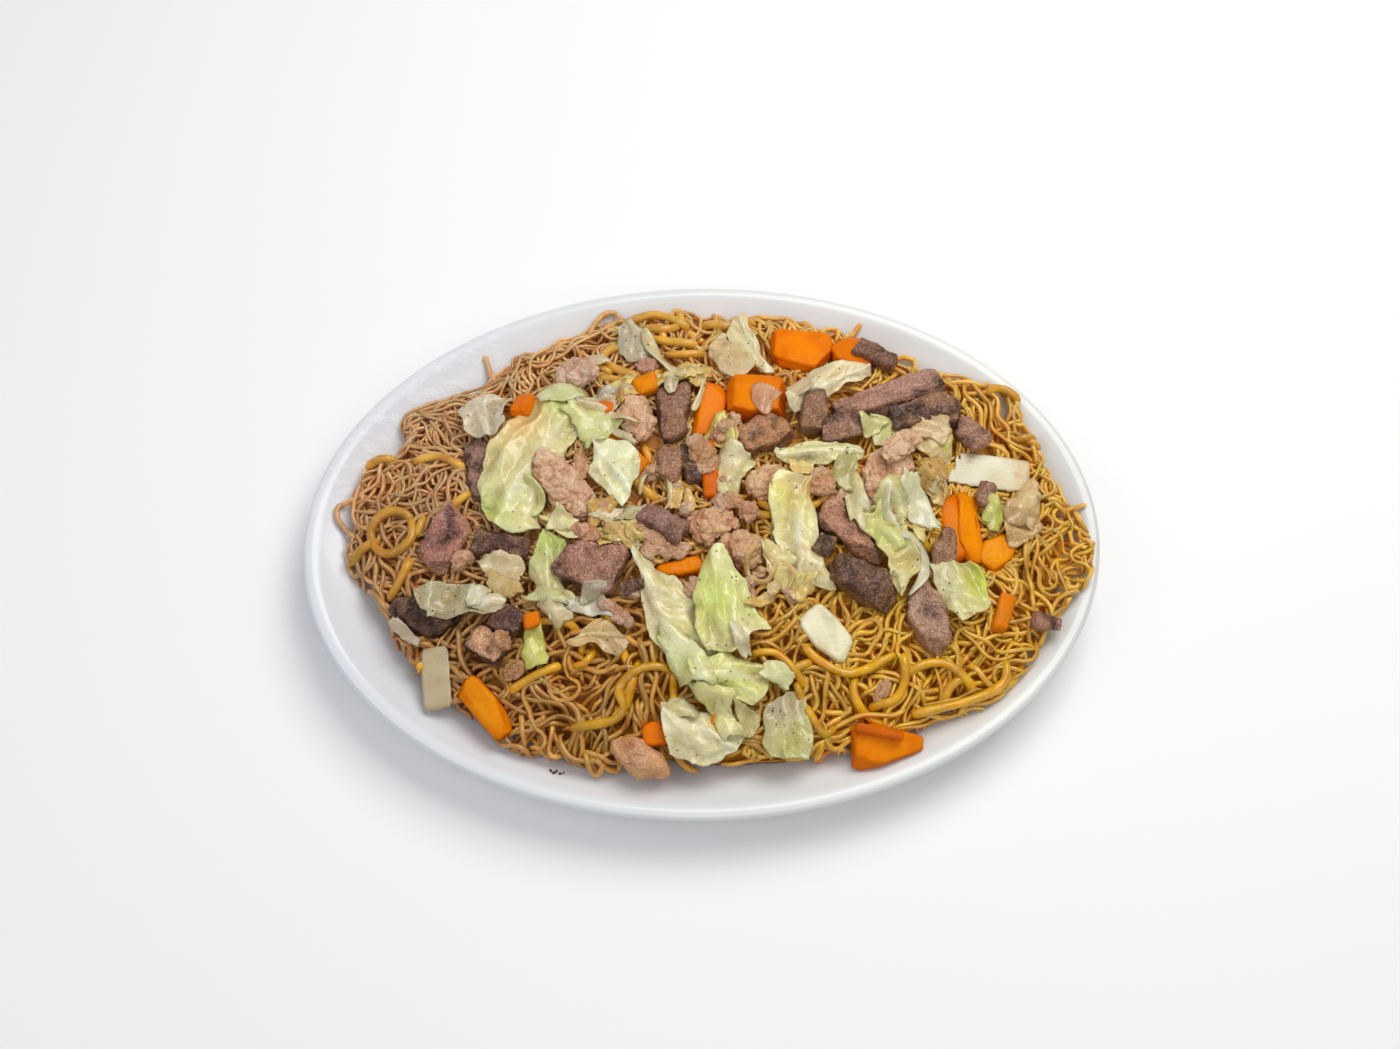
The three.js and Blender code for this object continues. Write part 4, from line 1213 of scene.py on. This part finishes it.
# Each scrap: plan place, length, width, turn in degrees, blade and pale everyday colours, how much it arches.
SCRAPS = [
    (15, 22, 28, 13, 70, (216, 204, 140), (236, 228, 186), 2.0),
    (67, 9, 32, 9, 100, (220, 206, 144), (238, 232, 190), 1.5),
    (64, 22, 16, 12, 60, (176, 168, 96), (206, 200, 146), 1.5),
    (95, 8, 26, 12, 98, (222, 222, 178), (240, 238, 212), 1.5),
    (80, 2, 16, 10, 10, (164, 156, 84), (200, 194, 130), 1.2),
    (129, 3, 11, 8, 60, (176, 172, 60), (206, 204, 110), 1.2),
    (-88, -18, 20, 12, -12, (214, 188, 140), (234, 222, 184), 1.5),
    (-86, -26, 16, 10, -20, (200, 166, 96), (226, 204, 150), 1.2),
    (-73, -53, 20, 10, 96, (202, 204, 76), (224, 224, 130), 1.5),
    (-130, -44, 16, 5, -45, (206, 188, 160), (232, 222, 200), 0.8),
    (-36, 4, 22, 8, -3, (214, 196, 156), (232, 222, 192), 1.0),
    (31, -18, 15, 10, -70, (226, 208, 132), (240, 228, 176), 1.5),
    (42, -30, 13, 8, 10, (224, 210, 124), (240, 232, 170), 1.2),
    (-11, 13, 15, 5, 75, (232, 188, 96), (244, 214, 140), 1.2),
    (-5, 9, 12, 4.5, 100, (222, 174, 80), (240, 206, 130), 1.2),
    (24, -38, 12, 5, 30, (228, 186, 96), (242, 214, 140), 1.2),
    (-92, -36, 14, 8, 20, (222, 208, 170), (238, 232, 204), 2.0),
    (-97, -33, 10, 9, 70, (228, 218, 182), (240, 234, 206), 2.0),
    (16, -56, 15, 8, -75, (226, 212, 176), (240, 234, 206), 1.6),
    (-66, -34, 20, 7, -15, (206, 204, 136), (228, 224, 170), 1.5),
    (-64, -41, 14, 8, -45, (216, 192, 142), (234, 220, 180), 1.4),
    (16, -89, 13, 10, 80, (200, 186, 114), (222, 212, 156), 1.2),
    (104, 44, 16, 14, -20, (216, 180, 128), (234, 208, 160), 1.5),
    (78, 45, 12, 9, 20, (206, 206, 126), (228, 226, 166), 1.2),
    (-45, 60, 16, 10, 10, (212, 190, 150), (234, 224, 196), 1.0),
    (-38, 45, 22, 3.5, -35, (222, 206, 160), (240, 232, 200), 1.2),
    (-32, 3, 12, 7, 30, (190, 170, 126), (214, 200, 160), 1.0),
    (3, -80, 18, 9, -20, (226, 218, 130), (240, 234, 170), 1.4),
    (30, -71, 14, 10, -25, (222, 222, 156), (240, 238, 194), 1.5),
    (-10, -84, 14, 8, -30, (216, 202, 140), (236, 228, 180), 1.4),
    (141, -3, 15, 14, 0, (202, 160, 96), (222, 188, 130), 1.0),
    (-10, -62, 32, 13, -60, (232, 236, 156), (250, 250, 214), 1.4),
    (8, -89, 16, 9, -60, (226, 216, 130), (240, 234, 176), 1.4),
    (80, -6, 22, 14, -55, (204, 206, 96), (236, 234, 168), 2.4),
    (84, 5, 20, 13, -60, (212, 206, 128), (238, 234, 184), 1.8),
    (-46, 84, 10, 7, 0, (222, 196, 150), (238, 222, 186), 0.8),
    (-50, -38, 18, 9, 0, (212, 204, 180), (234, 230, 212), 1.0),
    (34, -28, 15, 8, -30, (226, 204, 112), (242, 228, 160), 1.8),
    (42, -33, 12, 7, 40, (222, 188, 96), (240, 216, 140), 1.6),
    (31, -32, 10, 5, 40, (222, 190, 130), (240, 222, 180), 1.0),
    (146, 10, 20, 12, 60, (222, 184, 124), (238, 210, 160), 1.2),
    (128, 4, 16, 9, 75, (196, 204, 80), (226, 226, 150), 1.6),
    (-51, 50, 25, 17, -48, (214, 220, 136), (242, 240, 188), 1.2),
    (-62, 66, 20, 13, 20, (216, 224, 150), (242, 242, 198), 0.8),
]
ONIONS = [
    (30, 57, 15, 11, 75, (226, 158, 112), (240, 190, 150), 1.6),
    (142, 6, 17, 14, 10, (206, 162, 100), (224, 190, 134), 1.4),
    (-37, 66, 16, 6, 0, (226, 212, 190), (240, 232, 216), 1.0),
    (-47, -33, 12, 7, 10, (204, 190, 164), (226, 214, 192), 1.0),
    (45, 64, 12, 8, 40, (226, 196, 150), (240, 222, 186), 1.0),
    (-12, 66, 8, 6, 90, (224, 204, 160), (240, 228, 196), 1.0),
]


def scrap_sheet(bm, seed, ragged_share, x, y, length, width, turn, blade, pale, arch):
    """Adds one torn scrap of leaf, draped over the dish, and gives its colours."""
    made = bmesh.ops.create_grid(bm, x_segments=14, y_segments=9, size=1)
    turn = math.radians(turn)
    taper, slant = 0.4 * math.sin(seed * 3), 0.3 * math.sin(seed * 7)
    blade, pale = dye(*blade), dye(*pale)
    colours = []
    for vert in made["verts"]:
        s, t = vert.co.x, vert.co.y
        place = Vector((s * 1.3, t * 1.3, seed))
        tears = 0.3 * noise.noise(place) + 0.16 * noise.noise(place * 2.7) + 0.08 * noise.noise(place * 6)
        ragged = 1 + ragged_share * tears
        rounding = 1 - 0.16 * s * s * t * t
        along = (s + slant * t) * length / 2 * ragged * rounding
        across = t * (1 + taper * s) * width / 2 * ragged * rounding
        across += 0.12 * width * (1 - s * s) * math.sin(seed * 5)
        plan_x = x + along * math.cos(turn) - across * math.sin(turn)
        plan_y = y + along * math.sin(turn) + across * math.cos(turn)
        fold = noise.noise(Vector((along / 12, across / 5, seed + 4)))
        crumple = noise.noise(Vector((along / 4, across / 3.5, seed + 6)))
        curl = 2.4 * max(0.0, abs(t) - 0.4) * noise.noise(Vector((along / 6, t, seed)))
        rise = 1.3 + arch * (1 - t * t) * 0.8 + 2.6 * fold + 0.8 * crumple + curl
        level = float(cover.at(plan_x * MM, plan_y * MM)) / MM
        vert.co = Vector((plan_x * MM, plan_y * MM, under_top((level + max(0.8, rise)) * MM)))
        rib = math.exp(-((t / 0.3) ** 2)) * max(0.0, 0.4 - 0.4 * s)
        patch = 0.5 * max(0.0, noise.noise(Vector((along / 8, across / 8, seed + 9))))
        # Painted highlight: higher folds are paler.
        ridge_highlight = 0.7 * smooth_step(1.2, 4.0, rise)
        colours.append(mixed(blade, pale, max(rib, patch, ridge_highlight, 0.4 * abs(t) ** 6)))
    for vert in made["verts"]:
        row, column = cover.cell(vert.co.x, vert.co.y)
        cover.grid[row, column] = max(cover.grid[row, column], vert.co.z - 1.4 * MM)
    return colours


def make_scraps(name, scraps, finish, thickness, ragged_share=1.0):
    bm = bmesh.new()
    colours = []
    for i, scrap in enumerate(scraps):
        colours += scrap_sheet(bm, i * 1.7 + 0.4, ragged_share, *scrap)
    leaf_piece(name, bm, colours, finish, (), thickness)


def ribbon_sheet(bm, seed, guide, width, blade, pale):
    """Adds one narrow strip that twists along its plan line, and gives its colours."""
    line = np.array(through(guide, 1.2))
    run = np.gradient(line, axis=0)
    left = np.stack([-run[:, 1], run[:, 0]], 1) / np.linalg.norm(run, axis=1)[:, None]
    made = bmesh.ops.create_grid(bm, x_segments=len(line) - 1, y_segments=6, size=1)
    blade, pale = dye(*blade), dye(*pale)
    colours = []
    for vert in made["verts"]:
        place = (vert.co.x + 1) / 2 * (len(line) - 1)
        i, t = round(place), vert.co.y
        half = 0.5 * width * (1 - 0.6 * vert.co.x ** 6)
        tilt = 0.9 * math.sin(i * 0.17 + seed)
        x, y = line[i] + left[i] * t * half * math.cos(tilt)
        rise = 1.2 + half * abs(math.sin(tilt)) + t * half * math.sin(tilt) + 0.6 * (1 - t * t)
        level = float(cover.at(line[i][0] * MM, line[i][1] * MM)) / MM
        vert.co = Vector((x * MM, y * MM, under_top((level + rise) * MM)))
        colours.append(mixed(blade, pale, 0.5 * abs(t) ** 3 + 0.5 * max(0.0, math.sin(tilt) * t)))
    return colours


def make_ribbons():
    bm = bmesh.new()
    colours = []
    for seed, ribbon in enumerate(RIBBONS):
        colours += ribbon_sheet(bm, seed, *ribbon)
    leaf_piece("leaf_ribbons", bm, colours, LEAF, (), 0.6)


SOFT_DYES = [(232, 204, 106), (216, 172, 78), (238, 216, 132), (208, 158, 70), (242, 204, 118), (230, 222, 120),
             (226, 186, 110), (238, 226, 166)]
CRUMB_DYES = [(230, 190, 152), (220, 176, 134), (236, 200, 166)]

# Where strands and ribbons stay bare of small pieces: plan place and radius.
OPEN_SPOTS = [((-17, 14), 15), ((32, -27), 15)]

# The oval that small limp pieces fill, and the line that nothing small is strewn in front of.
STREWN_CENTRE = (14, 20)
STREWN_HALF = (92, 56)
STREWN_FRONT = -36


def soft_scraps(seed, count):
    """Small limp pieces of leaf and onion that fill the middle of the dish between the toppings."""
    rng = random.Random(seed)
    taken = [(bit[:2], 0.5 * bit[2] + 2) for bit in CARROT_BITS + LIVER_BITS + CHICKEN_BITS]
    taken += [(scrap[:2], 0.4 * scrap[2]) for scrap in SCRAPS] + OPEN_SPOTS
    scraps = []
    while len(scraps) < count:
        angle, reach = rng.uniform(0, math.tau), math.sqrt(rng.random())
        x = STREWN_CENTRE[0] + STREWN_HALF[0] * reach * math.cos(angle)
        y = STREWN_CENTRE[1] + STREWN_HALF[1] * reach * math.sin(angle)
        length, width, turn = rng.uniform(9, 20), rng.uniform(4, 10), rng.uniform(0, 180)
        half_x = 0.42 * length * math.cos(math.radians(turn))
        half_y = 0.42 * length * math.sin(math.radians(turn))
        ends = [(x + side * half_x, y + side * half_y) for side in (-1, 0, 1)]
        clear = all(math.dist((x, y), centre) > reach for centre, reach in taken)
        if y < STREWN_FRONT or not clear or not all(is_open(end[0] * MM, end[1] * MM) for end in ends):
            continue
        tint = rng.choice(SOFT_DYES)
        pale = tuple(min(250, part + 20) for part in tint)
        scraps.append((x, y, length, width, turn, tint, pale, rng.uniform(0.4, 1.8)))
    return scraps


def chicken_crumbs(seed, count):
    """Small torn bits of chicken strewn over the middle of the dish."""
    rng = random.Random(seed)
    crumbs = []
    while len(crumbs) < count:
        x, y = rng.uniform(-60, 90), rng.uniform(STREWN_FRONT, 66)
        if is_open(x * MM, y * MM):
            size = rng.uniform(3.5, 8)
            crumbs.append((x, y, size * rng.uniform(1, 1.6), size, 0.8 * size, rng.uniform(0, 180),
                           rng.choice(CRUMB_DYES)))
    return crumbs


def make_pepper(count):
    """Ground pepper that lies on the leaves."""
    rng = random.Random(8)
    bm = bmesh.new()
    while count:
        tree = rng.choice(LEAF_TREES)
        low, high = tree[1], tree[2]
        hit, normal = tree[0].ray_cast(
            Vector((rng.uniform(low.x, high.x), rng.uniform(low.y, high.y), HIGH)), Vector((0, 0, -1)))[:2]
        if not hit:
            continue
        count -= 1
        size = rng.uniform(0.16, 0.42) * MM
        upright = normal.to_track_quat("Z", "Y").to_matrix().to_4x4()
        place = Matrix.Translation(hit + normal * 0.1 * MM) @ upright
        shape = Matrix.Diagonal((size * rng.uniform(0.8, 1.6), size, size * 0.6, 1))
        bmesh.ops.create_icosphere(bm, subdivisions=1, radius=1, matrix=place @ shape)
    shown("pepper_specks", to_mesh("pepper_specks", bm), PEPPER, "cabbage")


# Plan place and length of each dark crumb on the near rim.
CRUMBS = [(-67, -104, 0.9), (-65.5, -105, 1.1), (-64.5, -104, 0.7), (-63, -105.4, 0.9), (-61.6, -105, 0.6)]


def make_crumbs():
    """A few dark crumbs on the platter's near rim."""
    bm = bmesh.new()
    for x, y, size in CRUMBS:
        level = float(platter_top.at(x * MM, y * MM)) + 0.4 * size * MM
        place = Matrix.Translation((x * MM, y * MM, level)) @ Matrix.Rotation(x, 4, "Z")
        shape = Matrix.Diagonal((size * MM, 0.6 * size * MM, 0.45 * size * MM, 1))
        bmesh.ops.create_icosphere(bm, subdivisions=2, radius=1, matrix=place @ shape)
    shown("rim_crumbs", to_mesh("rim_crumbs", bm), PEPPER, "liver")


# ---- cabbage --------------------------------------------------------------

LEAF_TREES = []


def upper_side(node):
    """The upper side of a draped leaf as an open sheet of four-sided faces."""
    bm = merged(node)
    bmesh.ops.delete(bm, geom=[face for face in bm.faces if face.normal.z < 0.2], context="FACES")
    bmesh.ops.join_triangles(bm, faces=bm.faces, angle_face_threshold=math.pi, angle_shape_threshold=math.pi)
    return bm


def distance_to_line(x, y, start, end):
    """How far along and how far across a line a plan place lies, in millimetres."""
    run = Vector(end) - Vector(start)
    offset = Vector((x, y)) - Vector(start)
    along = offset.dot(run) / run.length
    across = (run.x * offset.y - run.y * offset.x) / run.length
    return along, across, run.length


def vein(x, y, rib, spacing, seed):
    """Share of vein at a plan place: a midrib that narrows, with side veins leaving it in a slant."""
    start, end, width = rib
    along, across, length = distance_to_line(x, y, start, end)
    share = min(1.0, max(0.0, along / length))
    bend = 1.5 * noise.noise(Vector((along / 14, seed, 0)))
    midrib = math.exp(-(((across - bend) / (width * (1.15 - 0.6 * share))) ** 2))
    wander = 0.35 * noise.noise(Vector((x / 9, y / 9, seed)))
    slant = ((along - 0.9 * abs(across)) / spacing + wander) % 1.0
    branch = math.exp(-((min(slant, 1 - slant) / 0.1) ** 2)) * math.exp(-abs(across) / 22)
    return midrib, 0.75 * branch


def leaf_sheet(bm, seed, blade, pale, rib=None, spacing=7.5, ruffle=1.0, curl=0.0, washes=(), others=None):
    """Shapes a sheet as a limp leaf and returns it with its colours, which include a painted highlight on its
    ridges and painted shade where it lies low.
    """
    border = [vert for vert in bm.verts if vert.is_boundary]
    edge_tree = KDTree(len(border))
    for i, vert in enumerate(border):
        edge_tree.insert(vert.co, i)
    edge_tree.balance()
    colours = []
    for vert in bm.verts:
        x, y = vert.co.x / MM, vert.co.y / MM
        flat = Vector((vert.co.x, vert.co.y, 0))
        inside = edge_tree.find(vert.co)[2] / MM
        edge = 1 - smooth_step(0, 6, inside)
        along, across, _ = distance_to_line(x, y, *(rib or ((0, 0), (1, 1), 1))[:2])
        midrib, branch = vein(x, y, rib, spacing, seed) if rib else (0.0, 0.0)
        bend = 4 * cloud(flat, 18, seed + 7)
        fold = cloud(Vector((along * 0.4, across + bend, 0)) * MM, 6.5, seed)
        crease = 0.3 - abs(cloud(Vector((along * 0.45, across + bend, 0)) * MM, 11, seed + 3))
        rise = ruffle * (1.7 * edge * cloud(flat, 8, seed) + 1.2 * fold + 3.4 * crease)
        rise += 0.5 * cloud(flat, 3.6, seed) + 0.9 * midrib + 0.25 * branch + curl * edge * edge
        if others:
            above = others.ray_cast(vert.co + Vector((0, 0, 0.05 * MM)), Vector((0, 0, 1)))[3]
            below = others.ray_cast(vert.co, Vector((0, 0, -1)))[3]
            if above is not None:
                rise = min(rise, above / MM - 0.25)
            if below is not None:
                rise = max(rise, LEAF_THICKNESS + 0.15 - below / MM)
        tear_x = 3.6 * cloud(flat, 12, seed + 1) + 0.8 * cloud(flat, 4, seed + 1)
        tear_y = 3.6 * cloud(flat, 12, seed + 2) + 0.8 * cloud(flat, 4, seed + 2)
        vert.co += Vector((edge * tear_x, edge * tear_y, rise)) * MM
        vert.co.z = under_top(vert.co.z)
        # Painted highlight: higher folds are paler.
        ridge_highlight = 0.7 * smooth_step(0.6, 3.2, rise)
        share = max(midrib, branch, 0.35 * edge, ridge_highlight, 0.5 * max(0.0, cloud(flat, 10, seed + 5)))
        colour = mixed(blade, pale, share)
        for wash_x, wash_y, radius, tint in washes:
            away = math.hypot(x - wash_x, y - wash_y) / radius
            colour = mixed(colour, dye(*tint), math.exp(-away * away))
        # Painted shade: darker where the leaf lies low.
        colours.append(mixed(colour, mixed(colour, LOW_LEAF_SHADE, 0.4), smooth_step(-0.3, 1.4, -rise)))
    return colours


def leaf_piece(name, bm, colours, finish, nodes=(), thickness=LEAF_THICKNESS):
    low = Vector([min(vert.co[i] for vert in bm.verts) for i in range(3)])
    high = Vector([max(vert.co[i] for vert in bm.verts) for i in range(3)])
    LEAF_TREES.append((BVHTree.FromBMesh(bm), low, high))
    mesh = to_mesh(name, bm)
    colour_in(mesh, colours)
    thing = shown(name, mesh, finish, "cabbage", *nodes)
    wall = thing.modifiers.new("leaf_wall", "SOLIDIFY")
    wall.thickness = thickness * MM
    wall.offset = -1
    return thing


# Painted shade for the low places of a leaf.
LOW_LEAF_SHADE = dye(150, 124, 58)
LEAVES = {
    "cabbage_02": dict(blade=(208, 192, 162), pale=(234, 228, 202),
                       rib=((-33, 106), (-8, 73), 2.0), clear=True),
    "cabbage_03": dict(blade=(238, 224, 172), pale=(250, 240, 198), rib=((33, 74), (19, 106), 1.6)),
    "cabbage_04": dict(blade=(248, 217, 163), pale=(252, 239, 192), clear=True),
    "cabbage_05": dict(blade=(246, 230, 184), pale=(250, 244, 208), rib=((38, 56), (78, 76), 1.8)),
    "cabbage_06": dict(blade=(240, 206, 154), pale=(250, 232, 184), clear=True,
                       washes=((84, 42, 9, (238, 243, 162)), (112, 38, 8, (230, 223, 122)))),
    "cabbage_07": dict(blade=(242, 240, 170), pale=(248, 248, 206), rib=((28, 30), (78, 33), 1.4)),
    "cabbage_08": dict(blade=(235, 227, 159), pale=(252, 248, 206), rib=((-88, 4), (-56, 60), 3.0), ruffle=1.5,
                       washes=((-80, 50, 11, (246, 199, 125)), (-60, 62, 12, (220, 227, 140)),
                               (-92, 6, 9, (208, 225, 119)))),
    "cabbage_09": dict(blade=(214, 198, 172), pale=(238, 230, 210),
                       rib=((-98, 70), (-94, 44), 1.6), ruffle=1.5),
    "cabbage_10": dict(blade=(246, 246, 192), pale=(250, 252, 218), rib=((-48, 38), (-28, 10), 2.0)),
    "cabbage_11": dict(blade=(208, 204, 140), pale=(228, 224, 176),
                       rib=((-68, -2), (-66, -42), 1.8), ruffle=1.5,
                       washes=((-66, -8, 10, (196, 214, 108)), (-76, -30, 8, (226, 204, 140)))),
    "cabbage_12": dict(blade=(184, 170, 132), pale=(206, 200, 168), ruffle=2.0, curl=1.5),
    "cabbage_13": dict(blade=(242, 200, 132), pale=(250, 224, 168),
                       rib=((-62, -50), (-32, -51), 1.2), clear=True),
    "cabbage_14": dict(blade=(220, 210, 130), pale=(240, 234, 182),
                       rib=((104, -20), (112, -56), 2.4), ruffle=1.6,
                       washes=((119, -28, 8, (216, 234, 40)), (103, -28, 9, (222, 216, 172)))),
    "cabbage_16": dict(blade=(216, 198, 118), pale=(246, 238, 184), ruffle=2.2, curl=2.0,
                       washes=((80, -6, 8, (214, 218, 114)),)),
    "cabbage_17": dict(blade=(252, 243, 168), pale=(252, 252, 216), rib=((41, 20), (42, -30), 2.4), ruffle=1.4,
                       washes=((44, -24, 11, (227, 210, 162)), (38, 8, 8, (252, 240, 133)),
                               (47, 14, 7, (228, 190, 116)))),
    "cabbage_19": dict(blade=(198, 192, 130), pale=(226, 220, 172), rib=((33, -76), (33, -104), 2.2),
                       washes=((36, -98, 8, (196, 192, 104)), (30, -82, 7, (190, 178, 150)))),
    "cabbage_20": dict(blade=(233, 225, 175), pale=(252, 246, 210),
                       rib=((-18, -86), (12, -100), 2.6), ruffle=1.3,
                       washes=((8, -82, 9, (238, 206, 116)),)),
    "cabbage_21": dict(blade=(238, 226, 158), pale=(252, 250, 206), rib=((-28, -22), (-2, -80), 2.6),
                       washes=((-10, -66, 14, (234, 236, 146)), (-26, -40, 10, (236, 220, 176)))),
    "cabbage_22": dict(blade=(222, 226, 126), pale=(244, 244, 186),
                       rib=((-2, -70), (34, -74), 2.0), ruffle=1.8),
    "cabbage_23": dict(blade=(229, 233, 142), pale=(252, 248, 187), rib=((6, -22), (16, -64), 2.4), ruffle=1.6,
                       washes=((22, -58, 8, (250, 239, 197)), (4, -38, 10, (218, 233, 119)))),
}
STEMS = {
    "cabbage_01": (188, 166, 140), "cabbage_15": (228, 224, 200), "cabbage_18": (236, 232, 200),
}


def make_leaves():
    for seed, (name, look) in enumerate(LEAVES.items()):
        look = dict(look)
        finish = CLEAR_LEAF if look.pop("clear", False) else LEAF
        look["blade"], look["pale"] = dye(*look["blade"]), dye(*look["pale"])
        bm = worked(upper_side(name), ("SUBSURF", {"levels": 4, "render_levels": 4,
                                                   "boundary_smooth": "PRESERVE_CORNERS"}))
        others = tree_of([node for node in NODES if node != name])
        colours = leaf_sheet(bm, seed + 1.0, others=others, **look)
        leaf_piece(name + "_leaf", bm, colours, finish, (name,))


def stem_surface(point, seed):
    return 0.3 * cloud(point, 8, seed) + 0.1 * cloud(point, 2.5, seed)


def make_stems():
    for seed, (name, colour) in enumerate(STEMS.items()):
        drift = spotted(dye(*colour), mixed(dye(*colour), dye(206, 196, 150), 0.5), 8, seed)

        def paint(point, normal, drift=drift):
            soaked = 0.8 * smooth_step(137, 143, point.x / MM + 3 * cloud(point, 7, 2.0))
            return mixed(drift(point, normal), dye(214, 184, 136), soaked)
        sculpt(name + "_rib", softened(merged(name), 3), seed, stem_surface, paint, STEM, "cabbage", (name,))


make_platter()
make_heart()
make_rice_noodles("rice_noodles_under", seed=18, count=110, sides=4, covered=True)
make_rice_noodles("rice_noodles_deep", seed=11, count=240, sides=4)
make_egg_noodles("egg_noodles_deep", seed=12, count=22, guides=[])
make_rice_noodles("rice_noodles_middle", seed=13, count=320, sides=4)
make_rice_noodles("rice_noodles_top", seed=15, count=240, sides=6)
make_rice_noodles("rice_noodles_loose", seed=16, count=270, sides=6)
make_egg_noodles("egg_noodles_top", seed=14, count=0, guides=EGG_GUIDES)
make_rice_noodles("rice_noodles_last", seed=17, count=100, sides=6)
make_loose_ends()
make_carrots()
make_livers()
make_chickens()
make_leaves()
make_stems()
cover = Survey(np.maximum(cover_top.grid, bed.grid)).spread(np.max, 1).spread(np.mean, 2)
make_bits("carrot_bits", CARROT_BITS, cut_bit, carrot_surface, CARROT, "carrot", sunk=0.8, seed=31)
make_bits("liver_bits", LIVER_BITS, cut_bit, liver_surface, LIVER, "liver", sunk=1.5, seed=32)
make_scraps("soft_scraps", soft_scraps(seed=41, count=56), LEAF, thickness=0.5)
CHICKEN_BITS += chicken_crumbs(seed=42, count=34)
make_bits("chicken_bits", CHICKEN_BITS, torn_bit, chicken_surface, CHICKEN, "chicken", sunk=1.5, seed=33)
make_scraps("cabbage_scraps", SCRAPS, LEAF, thickness=0.6)
make_scraps("onion_scraps", ONIONS, CLEAR_LEAF, thickness=0.9, ragged_share=0.35)
make_ribbons()
make_pepper(count=230)
make_crumbs()
set_stage()
set_camera()
